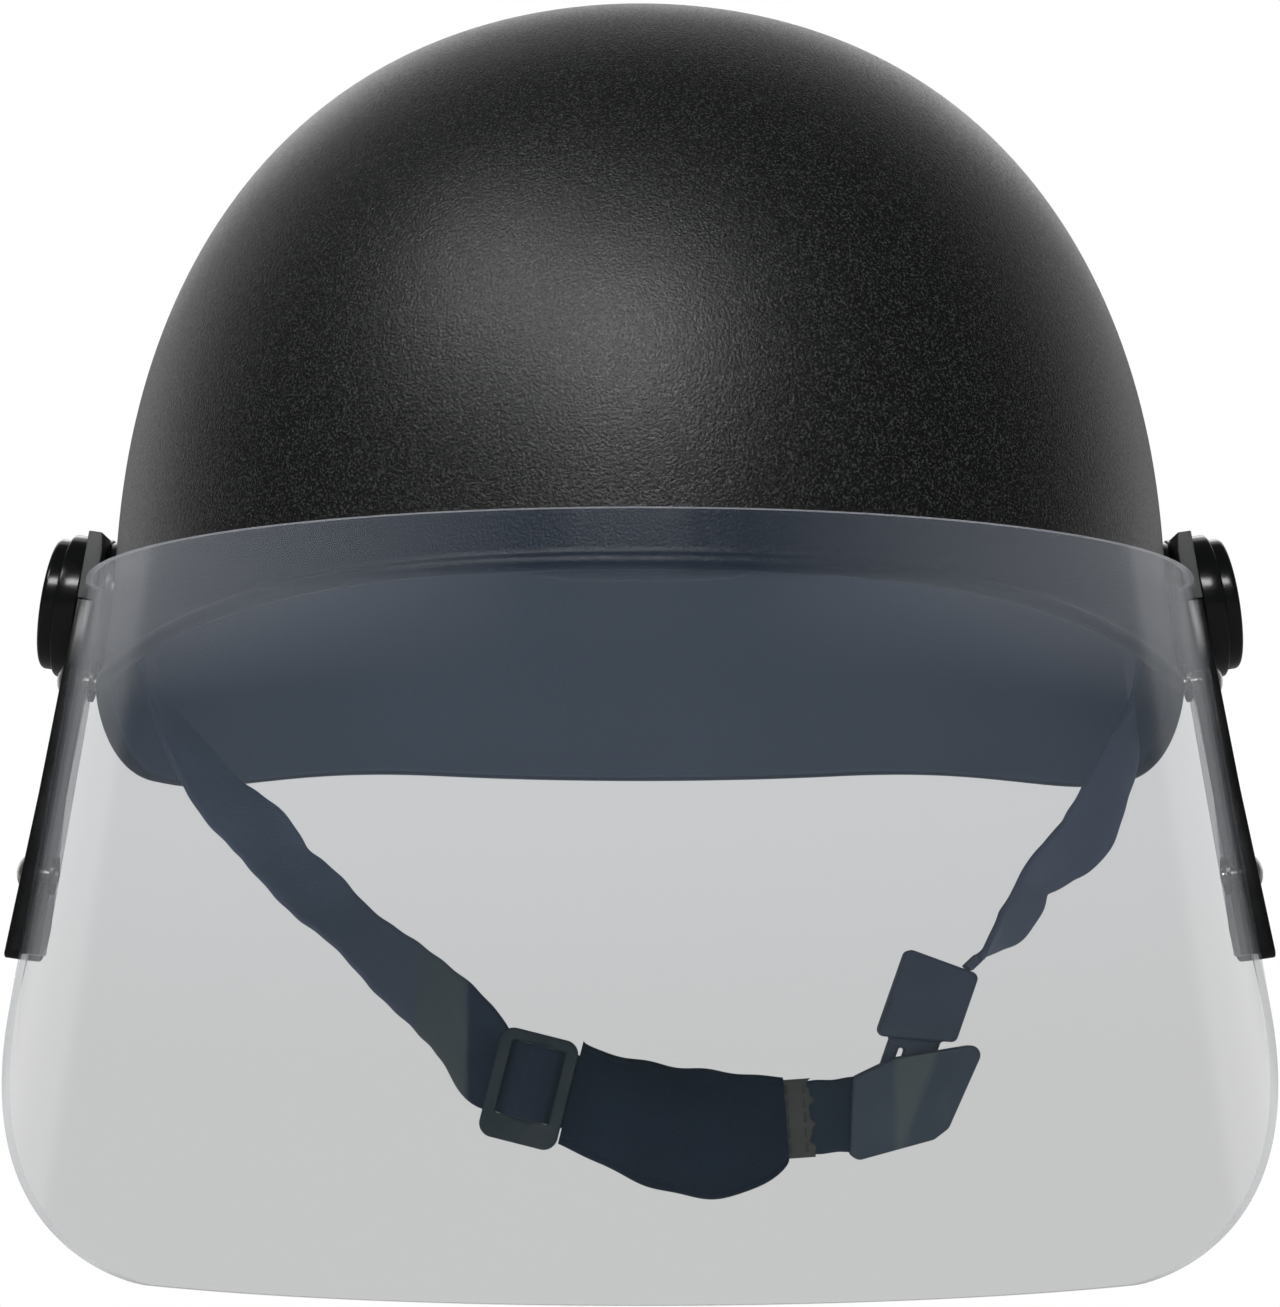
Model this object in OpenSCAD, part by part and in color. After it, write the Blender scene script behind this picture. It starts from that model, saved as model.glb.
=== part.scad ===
// Police tactical helmet: a moulded shell with a wrap-round visor on two side hinges and a chin strap.
// +Z is up and the face looks along -Y.
// The origin is the middle of the head opening, level with the brow rim.

/* [Shell] */
// Width of the shell over the hinge line
shell_w = 222; // [205:1:245]
// Length of the shell from brow to nape over the hinge line
shell_l = 268; // [250:1:280]
// Height of the crown above the hinge line
dome_h = 123; // [112:1:134]
// Fullness of the dome outward, where 2 is an ellipse
dome_power_out = 2.45; // [2:0.05:2.8]
// Fullness of the dome upward
dome_power_up = 2.12; // [2:0.02:2.4]
// Wall thickness of the shell
wall = 2.8; // [2:0.1:3.6]
// Height of the hinge line above the brow rim
hinge_z = 12.5; // [10:0.5:15]
// Outward slope of the skirt at the ears, in degrees
ear_flare = 7.5; // [5:0.1:9.5]
// Outward slope of the skirt at the brow, in degrees
brow_flare = 3; // [0:0.5:6]
// Outward slope of the skirt at the nape, in degrees
nape_flare = 5.5; // [4:0.5:12]
// Fall of the rim from the brow to the temples
brow_drop = 8; // [4:0.5:10]
// Further fall of the rim from the temples to the ears
ear_drop = 13.5; // [10:0.5:22]
// Rise of the rim from the ears to the nape
nape_rise = 8.5; // [6:0.5:16]
// Height of the rolled bead round the rim
bead_h = 3.2; // [2:0.1:5]
// How far the bead stands out from the wall
bead_out = 0.8; // [0.4:0.1:1.2]

/* [Foam pads] */
// Thickness of the foam pads at their middle
pad_t = 12; // [6:0.5:16]
// Height of the lower edge of the side, brow and nape pads above the brow rim
pad_z = 40; // [32:1:50]
// Height of those pads
pad_h = 40; // [25:1:50]
// Angle that each of those pads spans round the head
pad_span = 46; // [30:1:60]
// Steepness at which the crown pad ends, in degrees from the hinge line
crown_pad_edge = 60; // [56:1:70]

/* [Visor] */
// Thickness of the clear sheet
visor_t = 1.5; // [1:0.1:1.8]
// Distance from the shell's brow forward to the visor's outer face, at its upper edge
visor_gap = 14; // [11:1:20]
// Height of the visor's upper edge at the front, above the brow rim
visor_top = 8.3; // [4:0.1:12]
// Rise of that edge from the front back to the hinge line
visor_top_rise = 7.2; // [3:0.1:9]
// Depth of the visor's lower edge at the front, below the brow rim
visor_drop = 118; // [100:1:130]
// Forward slope of the visor at the front, in degrees
front_splay = 9.6; // [6:0.1:12]
// Distance back from the visor's front at which its lower edge starts to sweep up
sweep_in = 28; // [18:1:38]
// Power of that sweep
sweep_power = 1.42; // [1.3:0.02:1.9]

/* [Arms] */
// Thickness of an arm
arm_t = 3.5; // [3:0.1:4.5]
// Outward slope of an arm, in degrees
arm_tilt = 8.4; // [7:0.1:10]
// Angle by which an arm points inward at its front, in degrees
arm_toe = 2.6; // [2:0.1:4]
// Gap between the shell and an arm's inner face, at the hinge
arm_gap = 5.1; // [4.4:0.1:6]
// Length of an arm below the hinge
arm_drop = 76.5; // [68:0.5:84]
// Width of an arm at its waist
arm_waist = 14; // [12:0.5:18]
// Width of an arm's foot
foot_w = 31; // [26:0.5:34]
// Lean of an arm's front edge, from the hinge down to the foot
arm_lean = 12; // [9:0.5:14]
// Radius of an arm's round head
head_r = 15.5; // [14.5:0.1:17]
// Height of the square lug at the front of the head
lug_h = 14.5; // [10:0.5:16]
// Depth of that lug from front to back
lug_d = 9; // [6:0.5:11]

/* [Hinges] */
// Radius of the pivot bolt
bolt_r = 3; // [2.5:0.1:3.5]
// Radius of the bolt's head
bolt_head_r = 6; // [5:0.1:6.4]
// Height of the bolt's head
bolt_head_h = 2.8; // [2:0.1:3.2]
// Radius of the base that is fixed to the shell
base_r = 15; // [14:0.1:15.4]
// How far the base's flat face stands out from the shell's side
base_h = 2.5; // [2.4:0.1:2.9]
// Thickness of the turning disc
disc_t = 4.8; // [4.2:0.1:6]
// Radius of the cap
cap_r = 14.2; // [12:0.1:15]
// Thickness of the cap
cap_t = 3.2; // [2.4:0.1:4]
// Radius of a visor rivet's head
rivet_head_r = 4; // [3:0.1:4.4]
// Radius of a visor rivet's shank
rivet_r = 1.6; // [1.2:0.1:2]

/* [Chin strap] */
// Width of the webbing
web_w = 15.5; // [12:0.5:17]
// Thickness of the webbing
web_t = 1.5; // [1.2:0.1:1.8]
// Depth of the chin cup's middle below the hinge line
strap_drop = 113; // [100:1:120]
// Length of the chin cup
cup_l = 45; // [40:1:50]
// Height of the chin cup at its end beside the slider
cup_h = 21.6; // [18:0.2:24]
// How far its lower edge dips below its two ends
cup_dip = 8.9; // [4:0.1:12]
// Thickness of the chin cup's padding
cup_t = 4; // [3:0.2:6]
// Height of the slider, across the webbing
slider_h = 23.5; // [21:0.5:26]
// Width of the slider, along the webbing
slider_w = 17; // [15:0.5:19]
// Thickness of the slider's frame
slider_t = 2; // [1.6:0.1:2.2]

/* [Buckle] */
// Thickness of the buckle
buckle_t = 8; // [7:0.2:9]
// Width of the plug's block
plug_w = 16.3; // [15.5:0.1:18]
// Length of the plug's block
plug_l = 19.2; // [17:0.2:20]
// Width of the plug's tongue
tongue_w = 10.5; // [9:0.1:11]
// Thickness of the plug's tongue
tongue_t = 3.4; // [2.6:0.1:4]
// Length of the tongue inside the socket
tongue_l = 12.5; // [10:0.5:13.5]
// Lean of the plug from upright, in degrees
plug_lean = 20; // [16:1:24]

/* [Clearances] */
// Running clearance of the bolt in what turns on it, on the radius
run_gap = 0.05; // [0.02:0.01:0.09]
// Gap between faces that move past each other
face_gap = 0.3; // [0.2:0.05:0.4]
// Gap between pieces that are fixed to each other over a curved face
seat_gap = 0.15; // [0.1:0.05:0.3]
// Gap between a foam pad and the inner wall, for its glue
pad_gap = 0.5; // [0.4:0.05:0.8]

/* [Hidden] */
$fn = 64;

shell_black = [0.11, 0.11, 0.11];
gloss_black = [0.05, 0.05, 0.05];
lug_grey = [0.2, 0.21, 0.2];
foam_grey = [0.1, 0.1, 0.11];
clear_sheet = [0.78, 0.8, 0.82, 0.5];
nickel = [0.72, 0.71, 0.68];
webbing_black = [0.07, 0.07, 0.08];
buckle_black = [0.13, 0.14, 0.15];

half_w = shell_w / 2;
half_l = shell_l / 2;
visor_reach = half_l + visor_gap;
sweep_start = visor_reach - sweep_in;

// Rings and columns of the moulded surfaces
shell_columns = 64;
dome_rings = 13;
skirt_rings = 3;
visor_columns = 72;

// Stations along the rim, from brow to nape
brow_y = -half_l;
temple_y = -48;
ear_front_y = -35;
ear_back_y = 35;
nape_start_y = 45;
nape_end_y = half_l - 14;

function smooth(t) = let (c = min(max(t, 0), 1)) c * c * (3 - 2 * c);
function ramp(y, from, to) = smooth((y - from) / (to - from));
function rim_z(y) = -brow_drop * ramp(y, brow_y, temple_y)
    - ear_drop * ramp(y, ear_front_y, ear_back_y)
    + nape_rise * ramp(y, nape_start_y, nape_end_y);

// How far each stretch of the skirt slopes outward, from the share of front, side and back
function flare(az) = let (c = cos(az), end = c > 0 ? brow_flare : nape_flare)
    ear_flare + (end - ear_flare) * c * c;

// A point of the dome: az runs round from the brow, tilt rises from the hinge line to the crown,
// and depth goes in from the outer face
function dome_pt(az, tilt, depth) = let (
        level = pow(max(cos(tilt), 0), 2 / dome_power_out),
        rise = pow(max(sin(tilt), 0), 2 / dome_power_up))
    [(half_w - depth) * level * sin(az),
     -(half_l - depth) * level * cos(az),
     hinge_z + (dome_h - depth) * rise];

// A point of the skirt at height z
function skirt_pt(az, z, depth) = let (out = (hinge_z - z) * tan(flare(az)) - depth)
    [(half_w + out) * sin(az), -(half_l + out) * cos(az), z];

function column_rim(az) = rim_z(-half_l * cos(az));
function skirt_z(az, f) = hinge_z + (column_rim(az) + bead_h - hinge_z) * f;

// One ring of points per level, from the outer crown down, round the bead and up to the inner crown
function ring(level) = [for (i = [0 : shell_columns - 1]) shell_level(i * 360 / shell_columns, level)];
function shell_level(az, level) =
    level < dome_rings ? dome_pt(az, 90 - (level + 1) * 90 / dome_rings, 0) :
    level < dome_rings + skirt_rings ?
        skirt_pt(az, skirt_z(az, (level - dome_rings + 1) / skirt_rings), 0) :
    level == dome_rings + skirt_rings ?
        skirt_pt(az, column_rim(az) + bead_h * 0.7, -bead_out) :
    level == dome_rings + skirt_rings + 1 ?
        skirt_pt(az, column_rim(az) + bead_h * 0.25, -bead_out) :
    level == dome_rings + skirt_rings + 2 ?
        skirt_pt(az, column_rim(az), wall * 0.3) :
    level == dome_rings + skirt_rings + 3 ?
        skirt_pt(az, column_rim(az) + bead_h * 0.25, wall) :
    level < dome_rings + 2 * skirt_rings + 4 ?
        skirt_pt(az, skirt_z(az, (dome_rings + 2 * skirt_rings + 4 - level) / skirt_rings), wall) :
    dome_pt(az, (level - dome_rings - 2 * skirt_rings - 4) * 90 / dome_rings, wall);
shell_levels = 2 * dome_rings + 2 * skirt_rings + 4;

// Triangles between rings of n points, where the first and last rings are closed by one point each
function ring_faces(n, rings) = concat(
    [for (i = [0 : n - 1]) [0, 1 + i, 1 + (i + 1) % n]],
    [for (r = [0 : rings - 2], i = [0 : n - 1], half = [0, 1])
        let (a = 1 + r * n + i, b = 1 + r * n + (i + 1) % n, c = a + n, d = b + n)
        half == 0 ? [a, c, d] : [a, d, b]],
    [for (i = [0 : n - 1]) let (last = 1 + rings * n)
        [last, last - n + (i + 1) % n, last - n + i]]);

// Triangles of a closed tube of rings with n points each, capped flat at both ends
function tube_faces(n, rings) = concat(
    [for (i = [1 : n - 2]) [0, i, i + 1]],
    [for (r = [0 : rings - 2], i = [0 : n - 1], half = [0, 1])
        let (a = r * n + i, b = r * n + (i + 1) % n, c = a + n, d = b + n)
        half == 0 ? [a, c, d] : [a, d, b]],
    [for (i = [1 : n - 2]) let (first = (rings - 1) * n) [first, first + i + 1, first + i]]);

module shell_body() {
    points = concat([[0, 0, hinge_z + dome_h]],
        [for (level = [0 : shell_levels - 1]) each ring(level)],
        [[0, 0, hinge_z + dome_h - wall]]);
    polyhedron(points, ring_faces(shell_columns, shell_levels));
}

// Puts what is drawn for the right side (+X) on either side
module side(s) {
    if (s > 0) {
        children();
    } else {
        mirror([1, 0, 0]) children();
    }
}

// A cylinder along X with its axis on the hinge line, from one X to another
module axle(r, from_x, to_x) {
    translate([from_x, 0, hinge_z]) rotate([0, 90, 0]) cylinder(r = r, h = to_x - from_x);
}

// X of the faces along the hinge line, from the shell out
base_face = half_w + base_h;
hub_face = base_face + face_gap;
arm_face = half_w + arm_gap;
slope = cos(arm_tilt) * cos(arm_toe);
arm_outer = arm_face + arm_t / slope;
head_seat = hub_face + (arm_outer - hub_face) * 0.8;
pocket_depth = bolt_head_h + 3 * face_gap;

module shell() {
    color(shell_black) difference() {
        shell_body();
        for (s = [-1, 1]) side(s) axle(bolt_r + run_gap, half_w - 3 * wall, half_w + 3 * wall);
    }
}

// A foam pad that follows the inner wall: crowned in the middle and thin along its edges
pad_columns = 10;
pad_rows = 6;
pad_edge = 0.25;
function bulge(u) = pad_edge + (1 - pad_edge) * pow(max(1 - pow(abs(2 * u - 1), 3), 0), 0.6);
function tilt_at(z) = asin(pow((z - hinge_z) / dome_h, dome_power_up / 2));
function pad_grid(az_mid, depth_of) = [for (c = [0 : pad_columns], r = [0 : pad_rows])
    let (u = c / pad_columns, v = r / pad_rows,
         low = tilt_at(pad_z), high = tilt_at(pad_z + pad_h),
         thick = pad_t * bulge(u) * bulge(v))
    dome_pt(az_mid + pad_span * (u - 0.5), low + (high - low) * v,
        wall + pad_gap + depth_of * thick)];

// Triangles of a slab with a near and a far grid of columns x rows cells
function slab_faces(columns, rows) = let (
        n = rows + 1, far = (columns + 1) * n,
        rim = concat([for (r = [0 : rows - 1]) r], [for (c = [0 : columns - 1]) c * n + rows],
            [for (r = [rows : -1 : 1]) columns * n + r], [for (c = [columns : -1 : 1]) c * n]))
    concat(
        [for (c = [0 : columns - 1], r = [0 : rows - 1], half = [0, 1])
            let (a = c * n + r, b = a + 1, d = a + n, e = d + 1)
            half == 0 ? [a, e, b] : [a, d, e]],
        [for (c = [0 : columns - 1], r = [0 : rows - 1], half = [0, 1])
            let (a = far + c * n + r, b = a + 1, d = a + n, e = d + 1)
            half == 0 ? [a, b, e] : [a, e, d]],
        [for (i = [0 : len(rim) - 1], half = [0, 1])
            let (a = rim[i], b = rim[(i + 1) % len(rim)])
            half == 0 ? [a, b, far + b] : [a, far + b, far + a]]);

module wall_pad(az_mid) {
    color(foam_grey)
        polyhedron(concat(pad_grid(az_mid, 0), pad_grid(az_mid, 1)), slab_faces(pad_columns, pad_rows));
}

crown_columns = 32;
crown_rings = 5;
function crown_ring(k, depth) = let (tilt = 90 - (90 - crown_pad_edge) * k / crown_rings)
    [for (i = [0 : crown_columns - 1]) dome_pt(i * 360 / crown_columns, tilt, wall + pad_gap + depth)];
function crown_depth(k) = pad_t * bulge(0.5 + 0.5 * k / crown_rings);
module crown_pad() {
    points = concat([[0, 0, hinge_z + dome_h - wall - pad_gap]],
        [for (k = [1 : crown_rings]) each crown_ring(k, 0)],
        [for (k = [crown_rings : -1 : 1]) each crown_ring(k, crown_depth(k))],
        [[0, 0, hinge_z + dome_h - wall - pad_gap - pad_t]]);
    color(foam_grey) polyhedron(points, ring_faces(crown_columns, 2 * crown_rings));
}

module brow_pad() { wall_pad(0); }
module nape_pad() { wall_pad(180); }
module side_pad(s) { wall_pad(s * 90); }

// The shell's outer side near the hinge as a solid that reaches inward, used to fit the base to it
patch_half_angle = 16;
patch_columns = 6;
patch_rows = 6;
patch_low = -6;
function side_pt(az, z) = z < hinge_z ? skirt_pt(az, z, -seat_gap) : dome_pt(az, tilt_at(z), -seat_gap);
function patch_grid(flat) = [for (c = [0 : patch_columns], r = [0 : patch_rows])
    let (az = 90 - patch_half_angle + 2 * patch_half_angle * c / patch_columns,
         z = patch_low + 2 * (hinge_z - patch_low) * r / patch_rows, p = side_pt(az, z))
    flat ? [half_w - 5 * wall, p[1], p[2]] : p];

module hinge_base(s) {
    color(gloss_black) side(s) difference() {
        axle(base_r, half_w - 2 * wall, base_face);
        polyhedron(concat(patch_grid(true), patch_grid(false)), slab_faces(patch_columns, patch_rows));
        axle(bolt_r + run_gap, half_w - 4 * wall, base_face + 1);
    }
}

// Inside the shell the strap's eyelet turns between the wall and the nut
eyelet_t = web_t + 0.7;
eyelet_outer = half_w - wall - face_gap - 0.1;
eyelet_inner = eyelet_outer - eyelet_t;
nut_face = eyelet_inner - face_gap;
nut_t = 3;
nut_r = 5.6;
bolt_end = nut_face - nut_t - 0.8;

module pivot_bolt(s) {
    color(nickel) side(s) {
        axle(bolt_r, bolt_end, head_seat + face_gap + 0.5);
        axle(bolt_head_r, head_seat + face_gap, head_seat + face_gap + bolt_head_h);
    }
}

module pivot_nut(s) {
    color(nickel) side(s) difference() {
        translate([nut_face - nut_t, 0, hinge_z]) rotate([0, 90, 0]) cylinder(r = nut_r, h = nut_t, $fn = 6);
        axle(bolt_r + run_gap, nut_face - nut_t - 1, nut_face + 1);
    }
}

// The arms' own frame: X out of the arm's inner face, Y back and Z up, with the hinge at its origin
module arm_frame(s) {
    side(s) translate([arm_face, 0, hinge_z]) rotate([0, -arm_tilt, -arm_toe]) children();
}
module arm_plate(from_x, thick) {
    translate([from_x, 0, 0]) rotate([90, 0, 90]) linear_extrude(thick) children();
}

// Places on the arm, as distances back and up from the hinge
foot_front = -(head_r + arm_lean);
foot_r = 7;
waist_r = arm_waist / 2;
waist_top = [-(head_r - waist_r) - 2.5, -18];
waist_low = [-(head_r - waist_r) - 5, -42];
rivet_up = [waist_top[0] + 0.5, waist_top[1] + 1.1];
rivet_low = [foot_front + foot_w * 0.32, -arm_drop + 18];

module arm_outline() {
    circle(head_r);
    hull() {
        translate([-1.5, 0]) circle(head_r - 1.5);
        translate(waist_top) circle(waist_r);
    }
    hull() {
        translate(waist_top) circle(waist_r);
        translate(waist_low) circle(waist_r);
    }
    hull() {
        translate(waist_low) circle(waist_r);
        translate([foot_front + 1.5, -arm_drop + 1.5]) circle(1.5);
        translate([foot_front + foot_w - foot_r, -arm_drop + foot_r]) circle(foot_r);
    }
}

module arm(s) {
    color(gloss_black) difference() {
        union() {
            arm_frame(s) arm_plate(0, arm_t) arm_outline();
            // The hub fills the wedge between the sloping plate and the base's upright face
            difference() {
                side(s) axle(base_r - 0.5, hub_face, arm_outer + 6);
                arm_frame(s) translate([arm_t / 2, -40, -40]) cube(80);
            }
        }
        side(s) axle(head_r + 12, hub_face - 20, hub_face);
        side(s) axle(bolt_r + run_gap, hub_face - 1, arm_outer + 6);
        side(s) axle(bolt_head_r + 2 * face_gap, head_seat, arm_outer + 6);
        arm_frame(s) translate([-1, -head_r - 1, face_gap / 2]) cube([arm_t + 2, lug_d + 1, head_r + 2]);
        for (p = [rivet_up, rivet_low]) {
            arm_frame(s) translate([-1, p[0], p[1]]) rotate([0, 90, 0]) cylinder(r = rivet_r, h = arm_t + 2);
        }
    }
}

// The square lug that fills the upper front corner of the arm's head
module arm_lug(s) {
    color(lug_grey) difference() {
        arm_frame(s) translate([0, -head_r - 0.5, face_gap / 2])
            cube([arm_t, lug_d + 0.5 - face_gap / 2, lug_h]);
        side(s) axle(head_r + 12, hub_face - 20, hub_face);
    }
}

module hinge_disc(s) {
    color(gloss_black) difference() {
        arm_frame(s) arm_plate(arm_t, disc_t) circle(head_r);
        side(s) axle(bolt_head_r + 2 * face_gap, head_seat, head_seat + pocket_depth);
    }
}

// The cap has a rounded rim and a shallow dished face
cap_round = 1;
dish_r = cap_r - 3;
module hinge_cap(s) {
    color(gloss_black) arm_frame(s) translate([arm_t + disc_t, 0, 0]) rotate([0, 90, 0]) rotate_extrude()
        difference() {
            union() {
                square([cap_r, cap_t - cap_round]);
                square([cap_r - cap_round, cap_t]);
                translate([cap_r - cap_round, cap_t - cap_round]) circle(cap_round);
            }
            translate([0, cap_t - 0.6]) square([dish_r, 1]);
            translate([-2 * cap_r, -1]) square([2 * cap_r, cap_t + 2]);
        }
}

// Plan of the visor at height z: flat against the arms at the back and an ellipse round the front
flat_y = -28;
rear_y = -7.5;
function arm_x(y, z) = arm_face + y * tan(arm_toe) + (hinge_z - z) * tan(arm_tilt) / cos(arm_toe);
function reach(z) = visor_reach + (visor_top - z) * tan(front_splay);
function visor_x(y, z, depth) = let (edge = arm_x(flat_y, z) - depth, b = reach(z) - depth)
    y >= flat_y ? arm_x(y, z) - depth :
    edge * sqrt(max(1 - pow(y / b, 2), 0)) / sqrt(1 - pow(flat_y / b, 2));
function visor_top_z(y) = visor_top + visor_top_rise * (y + visor_reach) / visor_reach;
function visor_low_z(y) = let (
        ride = max(y + sweep_start, 0),
        full = visor_drop - arm_drop + hinge_z + 2,
        rise = full * pow(ride / (flat_y + sweep_start), sweep_power))
    -visor_drop + min(rise, full);

// Share of the way round, from -1 at the right end to +1 at the left
front_share = 0.9;
function visor_pt(u, top, depth) = let (
        a = abs(u), s = u < 0 ? 1 : -1,
        turn = 90 * a / front_share,
        ref = visor_reach,
        y_ref = a <= front_share ? flat_y - (ref + flat_y) * cos(turn)
            : flat_y + (rear_y - flat_y) * (a - front_share) / (1 - front_share),
        z = top ? visor_top_z(y_ref) : visor_low_z(y_ref),
        grow = y_ref < flat_y ? (reach(z) + flat_y) / (ref + flat_y) : 1,
        y = flat_y + (y_ref - flat_y) * grow,
        y_in = y_ref < flat_y ? flat_y + (y - flat_y) * (reach(z) - depth + flat_y) / (reach(z) + flat_y) : y)
    [s * visor_x(y_in, z, depth), y_in, z];

module visor() {
    points = [for (i = [0 : visor_columns]) let (u = -1 + 2 * i / visor_columns)
        each [visor_pt(u, true, seat_gap), visor_pt(u, true, seat_gap + visor_t),
              visor_pt(u, false, seat_gap + visor_t), visor_pt(u, false, seat_gap)]];
    color(clear_sheet) difference() {
        polyhedron(points, tube_faces(4, visor_columns + 1));
        for (s = [-1, 1]) {
            side(s) axle(head_r + 0.5, half_w - 10, arm_outer + 10);
            for (p = [rivet_up, rivet_low]) {
                arm_frame(s) translate([-5, p[0], p[1]]) rotate([0, 90, 0]) cylinder(r = rivet_r, h = 8);
            }
        }
    }
}

// Rivets: a domed head outside the arm, and behind the sheet a washer that the shank's end stands out of
washer_t = 0.8;
washer_back = (visor_t + seat_gap) / slope + washer_t;
rivet_end = 0.6;
rivet_head_h = 2;
rivet_dome_r = (pow(rivet_head_r, 2) + pow(rivet_head_h, 2)) / (2 * rivet_head_h);
module rivet_at(s, p) {
    arm_frame(s) translate([0, p[0], p[1]]) rotate([0, 90, 0]) children();
}
module visor_rivets() {
    color(nickel) for (s = [-1, 1], p = [rivet_up, rivet_low]) rivet_at(s, p) {
        translate([0, 0, -washer_back - rivet_end])
            cylinder(r = rivet_r, h = washer_back + rivet_end + arm_t + 0.5);
        translate([0, 0, arm_t]) intersection() {
            translate([0, 0, rivet_head_h - rivet_dome_r]) sphere(rivet_dome_r);
            cylinder(r = rivet_head_r, h = rivet_head_h);
        }
    }
}

module rivet_washers() {
    color(nickel) for (s = [-1, 1], p = [rivet_up, rivet_low]) rivet_at(s, p)
        translate([0, 0, -washer_back]) difference() {
            cylinder(r = rivet_head_r, h = washer_t);
            translate([0, 0, -1]) cylinder(r = rivet_r, h = washer_t + 2);
        }
}

// Webbing: a strip swept along a smooth route. Each stop of a route is [x, y, z, twist], where a twist
// of 0 lays the width along Y and 90 turns the face to the front.
function catmull(a, b, c, d, t) = 0.5 * (2 * b + (c - a) * t + (2 * a - 5 * b + 4 * c - d) * t * t
    + (3 * b - a - 3 * c + d) * t * t * t);
function route_point(stops, i, t) = let (last = len(stops) - 1)
    catmull(stops[max(i - 1, 0)], stops[i], stops[i + 1], stops[min(i + 2, last)], t);
function route(stops, steps) = concat(
    [for (i = [0 : len(stops) - 2], k = [0 : steps - 1]) route_point(stops, i, k / steps)],
    [stops[len(stops) - 1]]);
function place(p) = [p[0], p[1], p[2]];
function unit(v) = v / norm(v);
function strip_ring(path, i, w, t) = let (
        along = unit(place(path[min(i + 1, len(path) - 1)]) - place(path[max(i - 1, 0)])),
        side_way = unit([0, 1, 0] - along[1] * along),
        face_way = cross(along, side_way),
        wide = cos(path[i][3]) * side_way + sin(path[i][3]) * face_way,
        thin = cross(along, wide))
    [for (k = [[-1, -1], [1, -1], [1, 1], [-1, 1]])
        place(path[i]) + wide * k[0] * w / 2 + thin * k[1] * t / 2];
module strip(stops, w, t, steps) {
    path = route(stops, steps);
    polyhedron([for (i = [0 : len(path) - 1]) each strip_ring(path, i, w, t)], tube_faces(4, len(path)));
}

// The strap's places are shares of the span between the anchors and of its depth
anchor_x = (eyelet_outer + eyelet_inner) / 2;
function hang(x, z, y = 0, twist = 90) = [x * anchor_x, y, hinge_z - z * strap_drop, twist];
tab_r = web_w / 2;
tab_low = 12;
tab_hole_r = 3.7;

module strap_tab(s) {
    side(s) difference() {
        hull() {
            axle(tab_r, anchor_x - web_t / 2, anchor_x + web_t / 2);
            translate([anchor_x - web_t / 2, -tab_r, hinge_z - tab_low]) cube([web_t, web_w, 1]);
        }
        axle(tab_hole_r, anchor_x - web_t, anchor_x + web_t);
    }
}
tab_share = tab_low / strap_drop;

// The slider leans with the webbing, which goes behind its rims and in front of its bar
slider_tilt = 14;
slider_bar = 3;
slider_rim = 2.6;
slider_at = hang(-0.221, 0.905);
slider_rise = 1.4;
slot_w = (slider_w - slider_bar - 2 * slider_rim) / 2;
slot_mid = (slider_bar + slot_w) / 2;
turn_in = slot_w / 2 - 0.3;
over = (slider_t + web_t) / 2 + seat_gap;
cup_lead = slider_w / 2 + face_gap;
function slider_stop(along, out, lift = 0) = let (up = slider_rise + lift)
    [slider_at[0] + along * cos(slider_tilt) + up * sin(slider_tilt), out,
     slider_at[2] - along * sin(slider_tilt) + up * cos(slider_tilt), 90];

left_route = concat([
    hang(-1, tab_share, 0, 0), hang(-0.98, 0.16, 0, 6), hang(-0.93, 0.24, 0, 22), hang(-0.85, 0.35, 0, 40),
    hang(-0.765, 0.424, 0, 56), hang(-0.713, 0.486, 0, 46), hang(-0.655, 0.537, 0, 54),
    hang(-0.58, 0.601, 0, 42), hang(-0.486, 0.679, 0, 60), hang(-0.39, 0.757, over / 2, 82),
    hang(-0.335, 0.815, over + seat_gap, 90)
], [
    slider_stop(-slider_w / 2 - 0.6, over + seat_gap, 0.3), slider_stop(-slot_mid - turn_in - 1, over),
    slider_stop(-slot_mid - turn_in, over),
    slider_stop(-slot_mid, 0), slider_stop(-slot_mid + turn_in, -over),
    slider_stop(0, -over),
    slider_stop(slot_mid - turn_in, -over), slider_stop(slot_mid, 0),
    slider_stop(slot_mid + turn_in, over), slider_stop(cup_lead, over)
]);

// The right stretch ends on the fold that holds the buckle's plug, whose middle is at plug_at
plug_at = [61.1, -72];
loop_lean = 27;
loop_h = 3;
loop_in = 2.6;
function plug_pt(x, z) = [plug_at[0] + x * cos(plug_lean) + z * sin(plug_lean), 0,
    plug_at[1] - x * sin(plug_lean) + z * cos(plug_lean)];
function above_loop(d) = plug_pt(plug_w / 2 - loop_in, plug_l / 2 + seat_gap + web_t / 2 * sin(loop_lean))
    + (loop_h + d) * [sin(plug_lean + loop_lean), 0, cos(plug_lean + loop_lean)];
right_route = concat([
    hang(1, tab_share, 0, 0), hang(0.995, 0.18, 0, 10), hang(0.975, 0.265, 0, 34), hang(0.942, 0.343, 0, 44),
    hang(0.896, 0.431, 0, 54), hang(0.843, 0.477, 0, 44), hang(0.796, 0.515, 0, 31),
    hang(0.775, 0.558, 0, 33), hang(0.744, 0.6, 0, 31)
], [for (stop = [[6, 18], [face_gap, 0]]) concat(above_loop(stop[0]), [stop[1]])]);

module strap_left() {
    color(webbing_black) {
        strap_tab(-1);
        strip(left_route, web_w, web_t, 4);
    }
}
module strap_right() {
    color(webbing_black) {
        strap_tab(1);
        strip(right_route, web_w, web_t, 4);
    }
}

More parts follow.
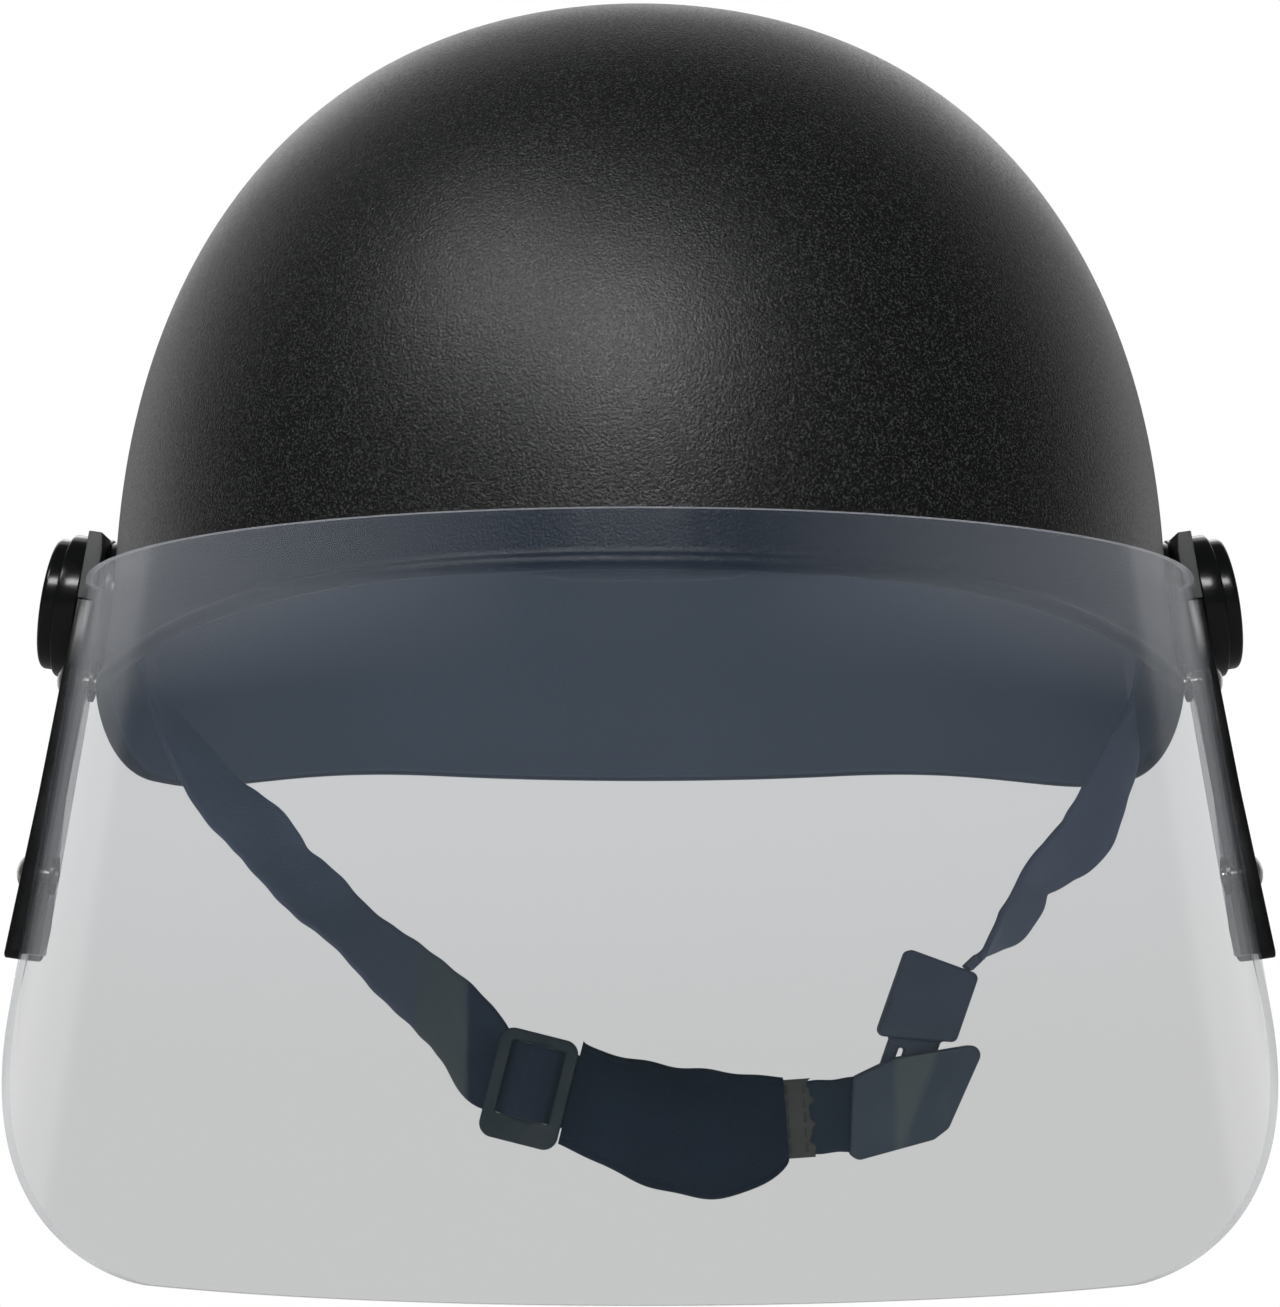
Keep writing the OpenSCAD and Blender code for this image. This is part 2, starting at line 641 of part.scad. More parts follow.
module strap_eyelet(s) {
    flange_r = 5.6;
    flange_t = (eyelet_t - web_t) / 2;
    color(nickel) side(s) translate([eyelet_inner, 0, hinge_z]) rotate([0, 90, 0]) rotate_extrude()
        difference() {
            translate([bolt_r + run_gap, 0]) square([flange_r - bolt_r - run_gap, eyelet_t]);
            translate([tab_hole_r - 0.1, flange_t]) square([flange_r, web_t]);
        }
}

// The slider: a frame of two slots with a bar between them
slider_corner = 3;
slot_h = web_w + 2 * seat_gap;
module slider() {
    color(buckle_black) translate([slider_at[0], 0, slider_at[2]]) rotate([0, slider_tilt, 0])
        front_plate(slider_t) difference() {
            hull() for (x = [-1, 1], z = [-1, 1])
                translate([x * (slider_w / 2 - slider_corner), z * (slider_h / 2 - slider_corner)])
                    circle(slider_corner);
            for (x = [-1, 1]) translate([x * slot_mid, slider_rise]) square([slot_w, slot_h], center = true);
        }
}

// The chin cup: a padded pocket that bulges forward, with a lower edge that dips between its ends.
// Each end is square to the webbing there.
cup_columns = 18;
cup_rows = 8;
cup_start = slider_stop(cup_lead + face_gap, over);
cup_fall = 5.6;
cup_sag = 1.8;
middle_rise = 4;
cup_bulge = 7;
cup_end_h = web_w + 2;
function cup_mid(u) = cup_start[2] - cup_fall * u;
function cup_height(u) = cup_h + (cup_end_h - cup_h) * u;
function cup_low(u) = cup_dip * pow(max(sin(180 * pow(u, 1.45)), 0), 0.75);
function cup_top(u) = cup_sag * sin(180 * pow(u, 0.6));
function cup_pt(u, v, depth) = let (
        up = cup_height(u) * (0.5 - v) - cup_low(u) * v - cup_top(u) * (1 - v),
        bend = sin(180 * u) * sin(18 + 144 * v))
    [cup_start[0] + cup_l * u + up * (tan(slider_tilt) * (1 - u) - tan(middle_rise) * u),
     over * (1 - u) - cup_bulge * bend + depth,
     cup_mid(u) + up];
function cup_grid(far) = [for (c = [0 : cup_columns], r = [0 : cup_rows])
    let (u = c / cup_columns, v = r / cup_rows,
         puff = 0.45 + 0.55 * pow(max(1 - pow(abs(2 * v - 1), 4), 0), 0.5))
    cup_pt(u, v, (far ? 0.5 : -0.5) * cup_t * puff)];
module chin_cup() {
    color(webbing_black)
        polyhedron(concat(cup_grid(false), cup_grid(true)), slab_faces(cup_columns, cup_rows));
}

// Past the cup the webbing rises straight to the socket
socket_x = 47.2;
middle_x = cup_start[0] + cup_l + face_gap;
function middle_z(x) = cup_mid(1) + (x - middle_x) * tan(middle_rise);
middle_route = [for (x = [middle_x, socket_x]) [x, 0, middle_z(x), 90]];
module strap_middle() {
    color(webbing_black) strip(middle_route, web_w, web_t, 4);
}

// The buckle: the plug's tongue goes down into the socket, along an axis that leans to the right
module plug_frame() {
    translate([plug_at[0], 0, plug_at[1]]) rotate([0, plug_lean, 0]) children();
}
// A plate in the XZ plane, centred on y = 0
module front_plate(thick) {
    translate([0, thick / 2, 0]) rotate([90, 0, 0]) linear_extrude(thick) children();
}
socket_corners = [[46.2, -102.5, 2], [61, -98.5, 2], [63.4, -96.7, 2], [69.9, -82.7, 2], [54.4, -85.2, 2],
    [46.8, -88.8, 2]];
pocket_gap = 0.35;
window_l = 5;
window_up = 2;
module buckle_socket() {
    color(buckle_black) difference() {
        front_plate(buckle_t) hull() for (c = socket_corners) translate([c[0], c[1]]) circle(c[2]);
        plug_frame() translate([0, 0, 4 - plug_l / 2 - (tongue_l + pocket_gap) / 2])
            cube([tongue_w + 2 * pocket_gap, tongue_t + 2 * pocket_gap, tongue_l + pocket_gap + 8],
                center = true);
        // The windows at its sides, where the prongs show
        plug_frame() translate([0, 0, window_up - plug_l / 2 - tongue_l + window_l / 2])
            cube([3 * tongue_w, tongue_t, window_l], center = true);
        // The slot that the webbing enters
        translate([socket_x, 0, middle_z(socket_x)]) rotate([0, -middle_rise, 0]) translate([-web_w, 0, 0])
            cube([2 * (web_w + face_gap), web_t + 2 * face_gap, 2 * web_w], center = true);
    }
}
// The plug's block stops short at its lower outer corner, along the slope of the socket's mouth
plug_r = 1.5;
plug_cut = 3.6;
prong_gap = 1.2;
prong_root = 1;
bar_skin = 2.5;
module buckle_plug() {
    color(buckle_black) plug_frame() difference() {
        union() {
            front_plate(buckle_t - 1) hull() for (x = [-1, 1], z = [-1, 1])
                translate([x * (plug_w / 2 - plug_r), z * (plug_l / 2 - plug_r) + (x > z ? plug_cut : 0)])
                    circle(plug_r);
            translate([-tongue_w / 2, -tongue_t / 2, -plug_l / 2 - tongue_l])
                cube([tongue_w, tongue_t, tongue_l + plug_l / 2]);
        }
        // The gaps between the tongue's guide and its two prongs
        for (x = [-1, 1]) translate([x * tongue_w / 5, 0, -plug_l / 2 - tongue_l / 2 - prong_root])
            cube([prong_gap, 2 * tongue_t, tongue_l], center = true);
        // The slot behind the bar that the webbing is folded over
        translate([-plug_w / 2 + 3, bar_skin - buckle_t / 2, plug_l / 2 - 6]) cube([plug_w - 6, buckle_t, 2.6]);
    }
}
// The fold of webbing that holds the plug by its bar
module strap_loop() {
    color(webbing_black) translate(above_loop(-loop_h / 2)) rotate([0, plug_lean + loop_lean, 0])
        cube([web_t, web_w - 4, loop_h], center = true);
}

shell();
crown_pad();
brow_pad();
nape_pad();
side_pad(-1);  // side_pad_left
side_pad(1);  // side_pad_right
hinge_base(-1);  // hinge_base_left
hinge_base(1);  // hinge_base_right
pivot_bolt(-1);  // pivot_bolt_left
pivot_bolt(1);  // pivot_bolt_right
pivot_nut(-1);  // pivot_nut_left
pivot_nut(1);  // pivot_nut_right
visor();
arm(-1);  // arm_left
arm(1);  // arm_right
arm_lug(-1);  // arm_lug_left
arm_lug(1);  // arm_lug_right
hinge_disc(-1);  // hinge_disc_left
hinge_disc(1);  // hinge_disc_right
hinge_cap(-1);  // hinge_cap_left
hinge_cap(1);  // hinge_cap_right
visor_rivets();
rivet_washers();
strap_left();
strap_eyelet(-1);  // strap_eyelet_left
slider();
chin_cup();
strap_middle();
buckle_socket();
strap_right();
strap_eyelet(1);  // strap_eyelet_right
buckle_plug();
strap_loop();
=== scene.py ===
import math

import bmesh
import bpy
from mathutils import Matrix, Vector


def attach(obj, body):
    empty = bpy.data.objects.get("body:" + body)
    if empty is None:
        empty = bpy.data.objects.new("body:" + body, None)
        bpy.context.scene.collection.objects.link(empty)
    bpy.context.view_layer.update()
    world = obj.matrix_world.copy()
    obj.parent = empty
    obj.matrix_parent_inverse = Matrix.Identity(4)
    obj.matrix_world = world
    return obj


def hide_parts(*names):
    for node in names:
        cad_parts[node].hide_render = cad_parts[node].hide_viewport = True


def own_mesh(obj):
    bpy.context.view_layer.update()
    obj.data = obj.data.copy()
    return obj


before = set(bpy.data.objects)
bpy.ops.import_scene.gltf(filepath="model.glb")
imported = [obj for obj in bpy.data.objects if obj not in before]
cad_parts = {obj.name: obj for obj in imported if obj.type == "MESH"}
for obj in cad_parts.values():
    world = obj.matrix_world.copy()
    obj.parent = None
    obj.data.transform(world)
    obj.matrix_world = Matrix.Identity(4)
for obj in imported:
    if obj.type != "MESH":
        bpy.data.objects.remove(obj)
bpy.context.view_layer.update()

# The scene is in metres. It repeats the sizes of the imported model, in millimetres and degrees
MM = 0.001

# Shell
SHELL_W = 222
SHELL_L = 268
DOME_H = 123
DOME_OUT = 2.45
DOME_UP = 2.12
WALL = 2.8
HINGE_Z = 12.5
EAR_FLARE = 7.5
BROW_FLARE = 3
NAPE_FLARE = 5.5
BROW_DROP = 8
EAR_DROP = 13.5
NAPE_RISE = 8.5
BEAD_H = 3.2
BEAD_OUT = 0.8
HALF_W = SHELL_W / 2
HALF_L = SHELL_L / 2
TEMPLE_Y = -48
EAR_FRONT_Y = -35
EAR_BACK_Y = 35
NAPE_START_Y = 45
NAPE_END_Y = 120

# Foam pads
PAD_T = 12
PAD_Z = 40
PAD_H = 40
PAD_SPAN = 46
CROWN_PAD_EDGE = 60
PAD_GAP = 0.5
# Share of a pad's full thickness at its rounded edge
PAD_EDGE = 0.25

# Visor
VISOR_T = 1.5
VISOR_REACH = 148
VISOR_TOP = 8.3
VISOR_TOP_RISE = 7.2
VISOR_DROP = 118
FRONT_SPLAY = 9.6
SWEEP_START = 120
SWEEP_POWER = 1.42
FLAT_Y = -28
REAR_Y = -7.5
# Share of the sheet's columns in front of FLAT_Y, behind which it is flat
FRONT_SHARE = 0.9
# How far the arm's foot reaches past the sheet's lower edge
ARM_PAST = 2
SEAT_GAP = 0.15
FACE_GAP = 0.3
RUN_GAP = 0.05

# Arms and hinges
ARM_TILT = 8.4
ARM_TOE = 2.6
ARM_GAP = 5.1
ARM_DROP = 76.5
ARM_WAIST = 14
FOOT_W = 31
ARM_LEAN = 12
HEAD_R = 15.5
BOLT_R = 3
RIVET_R = 1.6
ARM_FACE = HALF_W + ARM_GAP

# Chin strap
WEB_W = 15.5
WEB_T = 1.5
STRAP_DROP = 113
CUP_L = 45
CUP_H = 21.6
CUP_DIP = 8.9
CUP_T = 4
SLIDER_W = 17
SLIDER_T = 2
PLUG_W = 16.3
PLUG_L = 19.2
PLUG_LEAN = 20


def ramp(y, low, high):
    """A smooth rise from 0 at low to 1 at high."""
    t = min(max((y - low) / (high - low), 0.0), 1.0)
    return t * t * (3 - 2 * t)


def tan_deg(angle):
    return math.tan(math.radians(angle))


def turns(count):
    """Even angles round a full circle."""
    return [2 * math.pi * i / count for i in range(count)]


# Mesh helpers: edges that turn by more than these angles stay sharp
SHARP_HARD = 40
SHARP_WEB = 50
SHARP_SOFT = 60


def add_object(name, data):
    obj = bpy.data.objects.new(name, data)
    bpy.context.scene.collection.objects.link(obj)
    return obj


def new_object(name, verts, faces, smooth_faces=True):
    """A mesh object from points in millimetres."""
    mesh = bpy.data.meshes.new(name)
    mesh.from_pydata([Vector(v) * MM for v in verts], [], faces)
    mesh.validate()
    mesh.update()
    obj = add_object(name, mesh)
    bm = bmesh.new()
    bm.from_mesh(mesh)
    bmesh.ops.recalc_face_normals(bm, faces=bm.faces)
    bm.to_mesh(mesh)
    bm.free()
    mesh.polygons.foreach_set("use_smooth", [smooth_faces] * len(mesh.polygons))
    return obj


def smooth_by_angle(obj, degrees):
    obj.data.polygons.foreach_set("use_smooth", [True] * len(obj.data.polygons))
    obj.data.set_sharp_from_angle(angle=math.radians(degrees))


def apply_modifiers(obj):
    depsgraph = bpy.context.evaluated_depsgraph_get()
    mesh = bpy.data.meshes.new_from_object(obj.evaluated_get(depsgraph))
    obj.modifiers.clear()
    old = obj.data
    obj.data = mesh
    bpy.data.meshes.remove(old)


def band_faces(base, rings, count):
    """Quads between rings of count points each, the first of which starts at point base."""
    faces = []
    for r in range(rings):
        for k in range(count):
            a = base + r * count + k
            b = base + r * count + (k + 1) % count
            faces.append([a, a + count, b + count, b])
    return faces


def capped_faces(rings, count):
    """Faces of a form whose points are one pole, rings of count points each, and the other pole."""
    last = 1 + rings * count
    faces = [[0, 1 + i, 1 + (i + 1) % count] for i in range(count)]
    faces += band_faces(1, rings - 1, count)
    faces += [[last, last - count + (i + 1) % count, last - count + i] for i in range(count)]
    return faces


def weave_uv(obj, place):
    """Gives each corner its place on the cloth, from its point's index and its position in metres."""
    layer = obj.data.uv_layers.new(name="weave")
    for loop in obj.data.loops:
        index = loop.vertex_index
        layer.data[loop.index].uv = place(index, obj.data.vertices[index].co)


def cylinder_tool(radius, matrix, length, sides=64):
    """A closed cylinder along the matrix's Z, from -length/2 to length/2, in millimetres."""
    verts = []
    for end in (-0.5, 0.5):
        for turn in turns(sides):
            point = Vector((radius * math.cos(turn), radius * math.sin(turn), end * length))
            verts.append(matrix @ point)
    faces = band_faces(0, 1, sides)
    faces.append(list(range(sides)))
    faces.append(list(range(sides, 2 * sides)))
    return new_object("tool", verts, faces, False)


def cut(obj, tools):
    """Takes the tools out of the object and deletes them."""
    for tool in tools:
        modifier = obj.modifiers.new("cut", "BOOLEAN")
        modifier.operation = "DIFFERENCE"
        modifier.solver = "EXACT"
        modifier.object = tool
    apply_modifiers(obj)
    for tool in tools:
        bpy.data.objects.remove(tool)


# Turns Z to X
ACROSS = Matrix.Rotation(math.pi / 2, 4, "Y")


def axle_matrix(x):
    return Matrix.Translation((x, 0, HINGE_Z)) @ ACROSS


def arm_matrix(side):
    """The arm's own frame: X out of its inner face, with the hinge at the origin."""
    toe = Matrix.Rotation(math.radians(-ARM_TOE), 4, "Z")
    tilt = Matrix.Rotation(math.radians(-ARM_TILT), 4, "Y")
    frame_matrix = Matrix.Translation((ARM_FACE, 0, HINGE_Z)) @ (toe @ tilt)
    if side < 0:
        frame_matrix = Matrix.Scale(-1, 4, (1, 0, 0)) @ frame_matrix
    return frame_matrix


# Materials


class Tree:
    """Short ways to build a node tree; coords are the coordinates that its textures use."""

    def __init__(self, tree, coords):
        self.tree = tree
        self.coords = self.add("ShaderNodeTexCoord").outputs[coords]

    def add(self, kind, **settings):
        node = self.tree.nodes.new(kind)
        for key, value in settings.items():
            setattr(node, key, value)
        return node

    def link(self, source, target):
        self.tree.links.new(source, target)

    def put(self, node, values):
        for key, value in values.items():
            socket = node.inputs[key]
            if isinstance(value, bpy.types.NodeSocket):
                self.link(value, socket)
            else:
                socket.default_value = value
        return node

    def noise(self, scale, detail=2.0, rough=0.5, distortion=0.0):
        node = self.add("ShaderNodeTexNoise")
        self.put(node, {"Vector": self.coords, "Scale": scale, "Detail": detail,
                        "Roughness": rough, "Distortion": distortion})
        return node.outputs["Fac"]

    def voronoi(self, scale):
        node = self.add("ShaderNodeTexVoronoi")
        self.put(node, {"Vector": self.coords, "Scale": scale})
        return node.outputs["Distance"]

    def math(self, operation, a, b=0.0):
        node = self.add("ShaderNodeMath", operation=operation)
        self.put(node, {0: a, 1: b})
        return node.outputs[0]

    def waves(self, value, length):
        """A sine wave with one crest in each length of the value."""
        return self.math("SINE", self.math("MULTIPLY", value, 2 * math.pi / length))

    def ramp(self, fac, stops):
        node = self.add("ShaderNodeValToRGB")
        elements = node.color_ramp.elements
        while len(elements) < len(stops):
            elements.new(0.5)
        for element, (position, color) in zip(elements, stops):
            element.position = position
            element.color = color
        self.link(fac, node.inputs["Fac"])
        return node.outputs["Color"]

    def range(self, value, source, target=(0, 1), **settings):
        """Maps the source range of a value to the target range, and holds it at both ends."""
        node = self.add("ShaderNodeMapRange", **settings)
        self.put(node, {"Value": value, "From Min": source[0], "From Max": source[1],
                        "To Min": target[0], "To Max": target[1]})
        return node.outputs["Result"]

    def mix(self, fac, a, b):
        node = self.add("ShaderNodeMix", data_type="RGBA")
        self.put(node, {"Factor": fac, 6: a, 7: b})
        return node.outputs[2]

    def bump(self, height, strength, distance, normal=None):
        node = self.add("ShaderNodeBump")
        self.put(node, {"Height": height, "Strength": strength, "Distance": distance})
        if normal is not None:
            self.link(normal, node.inputs["Normal"])
        return node.outputs["Normal"]

    def axis(self, name, coords=None):
        node = self.add("ShaderNodeSeparateXYZ")
        self.link(coords or self.coords, node.inputs[0])
        return node.outputs[name]


class Nodes(Tree):
    """One material, whose textures use the object's coordinates."""

    def __init__(self, name):
        self.material = bpy.data.materials.new(name)
        self.material.use_nodes = True
        super().__init__(self.material.node_tree, "Object")
        self.shader = self.tree.nodes["Principled BSDF"]

    def uv(self):
        return self.add("ShaderNodeUVMap", uv_map="weave").outputs["UV"]

    def finish(self, **values):
        self.put(self.shader, {key.replace("_", " "): value for key, value in values.items()})
        return self.material


# Colours are linear red, green and blue, with a 1 behind them. Most materials mix two tones
SHELL_TONE_AND_GLINTS = ((0.0012, 0.0014, 0.0014, 1), (0.0200, 0.0205, 0.0210, 1))
INSIDE_TONES = ((0.046, 0.055, 0.074, 1), (0.057, 0.068, 0.090, 1))
# Painted light: the paler tone of the inner wall's upper part
INSIDE_PAINTED_LIGHT = (0.092, 0.106, 0.134, 1)
GLOSS_TONES = ((0.0022, 0.0024, 0.0026, 1), (0.0070, 0.0072, 0.0076, 1))
LUG_TONES = ((0.030, 0.032, 0.031, 1), (0.042, 0.044, 0.042, 1))
NICKEL_TONES = ((0.70, 0.69, 0.65, 1), (0.52, 0.50, 0.46, 1))
WASHER_TONES = ((0.090, 0.088, 0.084, 1), (0.050, 0.049, 0.046, 1))
FOAM_TONES = ((0.014, 0.0145, 0.016, 1), (0.030, 0.031, 0.034, 1))
WEB_TONES = ((0.042, 0.052, 0.076, 1), (0.078, 0.094, 0.134, 1))
MIDDLE_TONES = ((0.010, 0.017, 0.030, 1), (0.018, 0.028, 0.046, 1))
FOLD_TONES = ((0.040, 0.038, 0.036, 1), (0.085, 0.080, 0.074, 1))
PALER_WEB = (0.064, 0.078, 0.082, 1)
DARKER_WEB = (0.011, 0.017, 0.038, 1)
CUP_TONES = ((0.0032, 0.0066, 0.0190, 1), (0.0056, 0.0100, 0.0265, 1))
BUCKLE_TONES = ((0.037, 0.046, 0.070, 1), (0.050, 0.060, 0.090, 1))
SOCKET_TONES = ((0.038, 0.052, 0.074, 1), (0.050, 0.066, 0.094, 1))
# Painted highlight: the paler stripe across the socket's face
SOCKET_HIGHLIGHT = (0.070, 0.090, 0.094, 1)
SLIDER_TONES = ((0.020, 0.028, 0.033, 1), (0.030, 0.040, 0.046, 1))
THREAD_TONES = ((0.030, 0.029, 0.028, 1), (0.060, 0.056, 0.052, 1))
# Tints of the sheet and of its cut edge: at the lower edge, in the middle, over the brow and at the hinges.
# The sheet's tints are its faint haze with painted reflection, which changes with height and pales it at the
# hinges
SHEET_HAZE_AND_REFLECTIONS = (
    (0.010, 0.016, 0.018, 1),
    (0.042, 0.056, 0.076, 1),
    (0.016, 0.026, 0.042, 1),
    (0.190, 0.204, 0.230, 1),
)
# The cut edge's pale tints are a painted highlight along the edge
EDGE_HIGHLIGHT_TINTS = (
    (0.60, 0.62, 0.64, 1),
    (0.70, 0.72, 0.75, 1),
    (0.92, 0.92, 0.98, 1),
    (0.88, 0.88, 0.92, 1),
)

# Coordinates in a material are metres, so a noise scale of 1000 gives features about 1 mm across.
# Most of a noise's values lie in SPREAD. WEAR leaves more of a material in its first tone
SPREAD = (0.3, 0.7)
WEAR = (0.35, 0.7)


def shell_grain():
    """Satin black moulded plastic with a fine sandy grain, and paler specks painted into its colour as
    glints.
    """
    n = Nodes("shell_grain")
    grain = n.noise(1900, rough=0.6)
    coarse = n.noise(1100)
    height = n.math("ADD", grain, n.math("MULTIPLY", coarse, 0.2))
    normal = n.bump(height, strength=0.55, distance=0.00025)
    patches = n.noise(9)
    # Painted glints: paler specks in the colour stand in for the sparkle of the grain
    painted_glints = n.noise(2300, detail=1.0)
    tone = n.mix(n.range(painted_glints, (0.50, 0.70)), *SHELL_TONE_AND_GLINTS)
    rough = n.math("ADD", n.range(patches, SPREAD, (0.37, 0.42)), n.range(grain, (0.35, 0.65), (-0.06, 0.06)))
    return n.finish(Base_Color=tone, Roughness=rough, Normal=normal, Specular_IOR_Level=0.4)


def shell_inside():
    """The smooth slate-grey inner wall of the shell, with painted light that makes it paler from the rim
    upwards, where the dome's inside lies in shade.
    """
    n = Nodes("shell_inside")
    cloud = n.noise(22, detail=3.0)
    fine = n.noise(900)
    tone = n.mix(n.range(cloud, SPREAD), *INSIDE_TONES)
    # Painted light: the wall is painted paler from the rim upwards
    tone = n.mix(n.range(n.axis("Z"), (-0.012, 0.030), (0, 0.75)), tone, INSIDE_PAINTED_LIGHT)
    normal = n.bump(fine, strength=0.25, distance=0.0002)
    return n.finish(Base_Color=tone, Roughness=n.range(cloud, SPREAD, (0.55, 0.7)), Normal=normal)


def gloss_black():
    """Moulded glossy black plastic with faint flow marks."""
    n = Nodes("gloss_black")
    flow = n.noise(55)
    dust = n.noise(2600, rough=0.6)
    tone = n.mix(n.range(dust, (0.6, 0.8)), *GLOSS_TONES)
    normal = n.bump(flow, strength=0.12, distance=0.002)
    rough = n.math("ADD", n.range(flow, SPREAD, (0.15, 0.21)), n.range(dust, (0.5, 0.8), (0, 0.08)))
    return n.finish(Base_Color=tone, Roughness=rough, Normal=normal, Specular_IOR_Level=0.3)


def lug_matt():
    """Matt dark grey plastic with a spark-eroded surface."""
    n = Nodes("lug_matt")
    grain = n.noise(2400, rough=0.6)
    tone = n.mix(n.range(grain, WEAR), *LUG_TONES)
    normal = n.bump(grain, strength=0.35, distance=0.0002)
    return n.finish(Base_Color=tone, Roughness=n.range(grain, SPREAD, (0.5, 0.62)), Normal=normal)


def nickel(name, tones):
    """Brushed nickel with fine scratches and a little dulling."""
    n = Nodes(name)
    scratch = n.noise(4200, rough=0.6, distortion=1.2)
    dull = n.noise(500, detail=3.0)
    tone = n.mix(n.range(dull, WEAR), *tones)
    normal = n.bump(scratch, strength=0.18, distance=0.0001)
    rough = n.range(dull, SPREAD, (0.22, 0.36))
    return n.finish(Base_Color=tone, Metallic=1.0, Roughness=rough, Normal=normal)


def foam_cloth():
    """Foam pad under a fine knitted cloth."""
    n = Nodes("foam_cloth")
    cells = n.voronoi(1300)
    soft = n.noise(160, detail=3.0, rough=0.6)
    height = n.math("ADD", cells, n.math("MULTIPLY", soft, 0.5))
    tone = n.mix(n.range(cells, (0.1, 0.6)), *FOAM_TONES)
    normal = n.bump(height, strength=0.6, distance=0.0004)
    return n.finish(Base_Color=tone, Roughness=n.range(soft, SPREAD, (0.85, 0.95)), Normal=normal,
                    Sheen_Weight=0.25, Sheen_Roughness=0.5)


# Where the painted reflection makes the sheet pale, in metres from the middle and above the origin
PAINTED_REFLECTION_X = (0.018, 0.105)
PAINTED_REFLECTION_Z = (-0.020, -0.002)


def clear_sheet(name, tints, alpha, rough):
    """Clear sheet: a faint haze, bluish over the brow, under a gloss, with painted reflection that changes
    its brightness with height and turns it pale and whitish towards both hinges.
    """
    n = Nodes(name)
    low, middle, high, painted_reflection = tints
    # The haze and its painted reflection change with the height on the sheet, from 0 at the lower edge to 1
    # at the top
    height = n.range(n.axis("Z"), (-VISOR_DROP * MM, (VISOR_TOP + VISOR_TOP_RISE) * MM))
    smear = n.noise(14, detail=3.0, rough=0.55)
    tone = n.ramp(n.math("ADD", height, n.range(smear, SPREAD, (-0.008, 0.008))),
                  ((0.28, low), (0.58, middle), (0.86, middle), (0.872, high)))
    # Painted reflection: a pale tint towards both hinges, above the rim
    sideways = n.range(n.math("ABSOLUTE", n.axis("X")), PAINTED_REFLECTION_X)
    upper = n.range(n.axis("Z"), PAINTED_REFLECTION_Z)
    tone = n.mix(n.math("MULTIPLY", sideways, upper), tone, painted_reflection)
    swirl = n.noise(16, rough=0.4)
    normal = n.bump(swirl, strength=0.02, distance=0.001)
    material = n.finish(Base_Color=tone, Alpha=alpha, Roughness=rough, Normal=normal,
                        Specular_IOR_Level=0.6)
    material.surface_render_method = "DITHERED"
    return material


# The weave: one rib of the webbing and one thread of the cup in metres, and the picks across the webbing
RIB = 0.0011
PICKS = 11
CUP_THREAD = 0.0009
# The left webbing is paler just before the slider and darker from where it turns in there: from, to and width
# of the change, in metres along X
PALER_FROM = -0.0474
PALER_TO = -0.0366
DARKER_TO = 0.0
ZONE_EDGE = 0.0012
LEFT_ZONES = ((PALER_FROM, PALER_TO, PALER_WEB), (PALER_TO, DARKER_TO, DARKER_WEB))


def webbing(name, tones, zones=()):
    """Ribbed polyester webbing: its UV runs across in shares of the width and along in metres."""
    n = Nodes(name)
    uv = n.uv()
    weave = n.math("MULTIPLY", n.waves(n.axis("Y", uv), RIB), n.waves(n.axis("X", uv), 1 / PICKS))
    fuzz = n.noise(1500, detail=3.0, rough=0.6)
    height = n.math("ADD", n.math("MULTIPLY", weave, 0.14), n.math("MULTIPLY", fuzz, 0.9))
    rub = n.noise(120, detail=3.0, rough=0.6)
    paleness = n.math("MULTIPLY", n.range(height, (-0.1, 0.9), (0.2, 0.8)), n.range(rub, SPREAD, (0.7, 1.2)))
    tone = n.mix(paleness, *tones)
    x = n.math("ADD", n.axis("X"), n.math("MULTIPLY", rub, 0.0015))
    for start, end, shade in zones:
        inside = n.math("MULTIPLY", n.range(x, (start, start + ZONE_EDGE)),
                        n.range(x, (end, end + ZONE_EDGE), (1, 0)))
        tone = n.mix(inside, tone, shade)
    normal = n.bump(height, strength=0.28, distance=0.0003)
    return n.finish(Base_Color=tone, Roughness=n.range(fuzz, SPREAD, (0.76, 0.9)), Normal=normal,
                    Specular_IOR_Level=0.3, Sheen_Weight=0.15, Sheen_Roughness=0.4)


def cup_cloth():
    """Dark navy woven cover of the chin cup."""
    n = Nodes("cup_cloth")
    uv = n.uv()
    weave = n.math("MULTIPLY", n.waves(n.axis("X", uv), CUP_THREAD), n.waves(n.axis("Y", uv), CUP_THREAD))
    crush = n.noise(90, detail=3.0, rough=0.6)
    fuzz = n.noise(1700, rough=0.6)
    height = n.math("ADD", n.math("MULTIPLY", weave, 0.2), n.math("MULTIPLY", fuzz, 0.8))
    tone = n.mix(n.range(crush, SPREAD), *CUP_TONES)
    creases = n.bump(crush, strength=0.35, distance=0.002)
    normal = n.bump(height, strength=0.25, distance=0.0003, normal=creases)
    return n.finish(Base_Color=tone, Roughness=n.range(fuzz, SPREAD, (0.82, 0.92)), Normal=normal,
                    Specular_IOR_Level=0.2, Sheen_Weight=0.04, Sheen_Roughness=0.5)


# The socket's painted highlight, a paler stripe, in metres: its left edge, and its right edge, which slants
# up from its lowest height
HIGHLIGHT_LEFT = (0.0530, 0.0545)
HIGHLIGHT_RIGHT = (0.0600, 0.0620)
HIGHLIGHT_LOW_Z = -0.0869
HIGHLIGHT_SLANT = 0.39


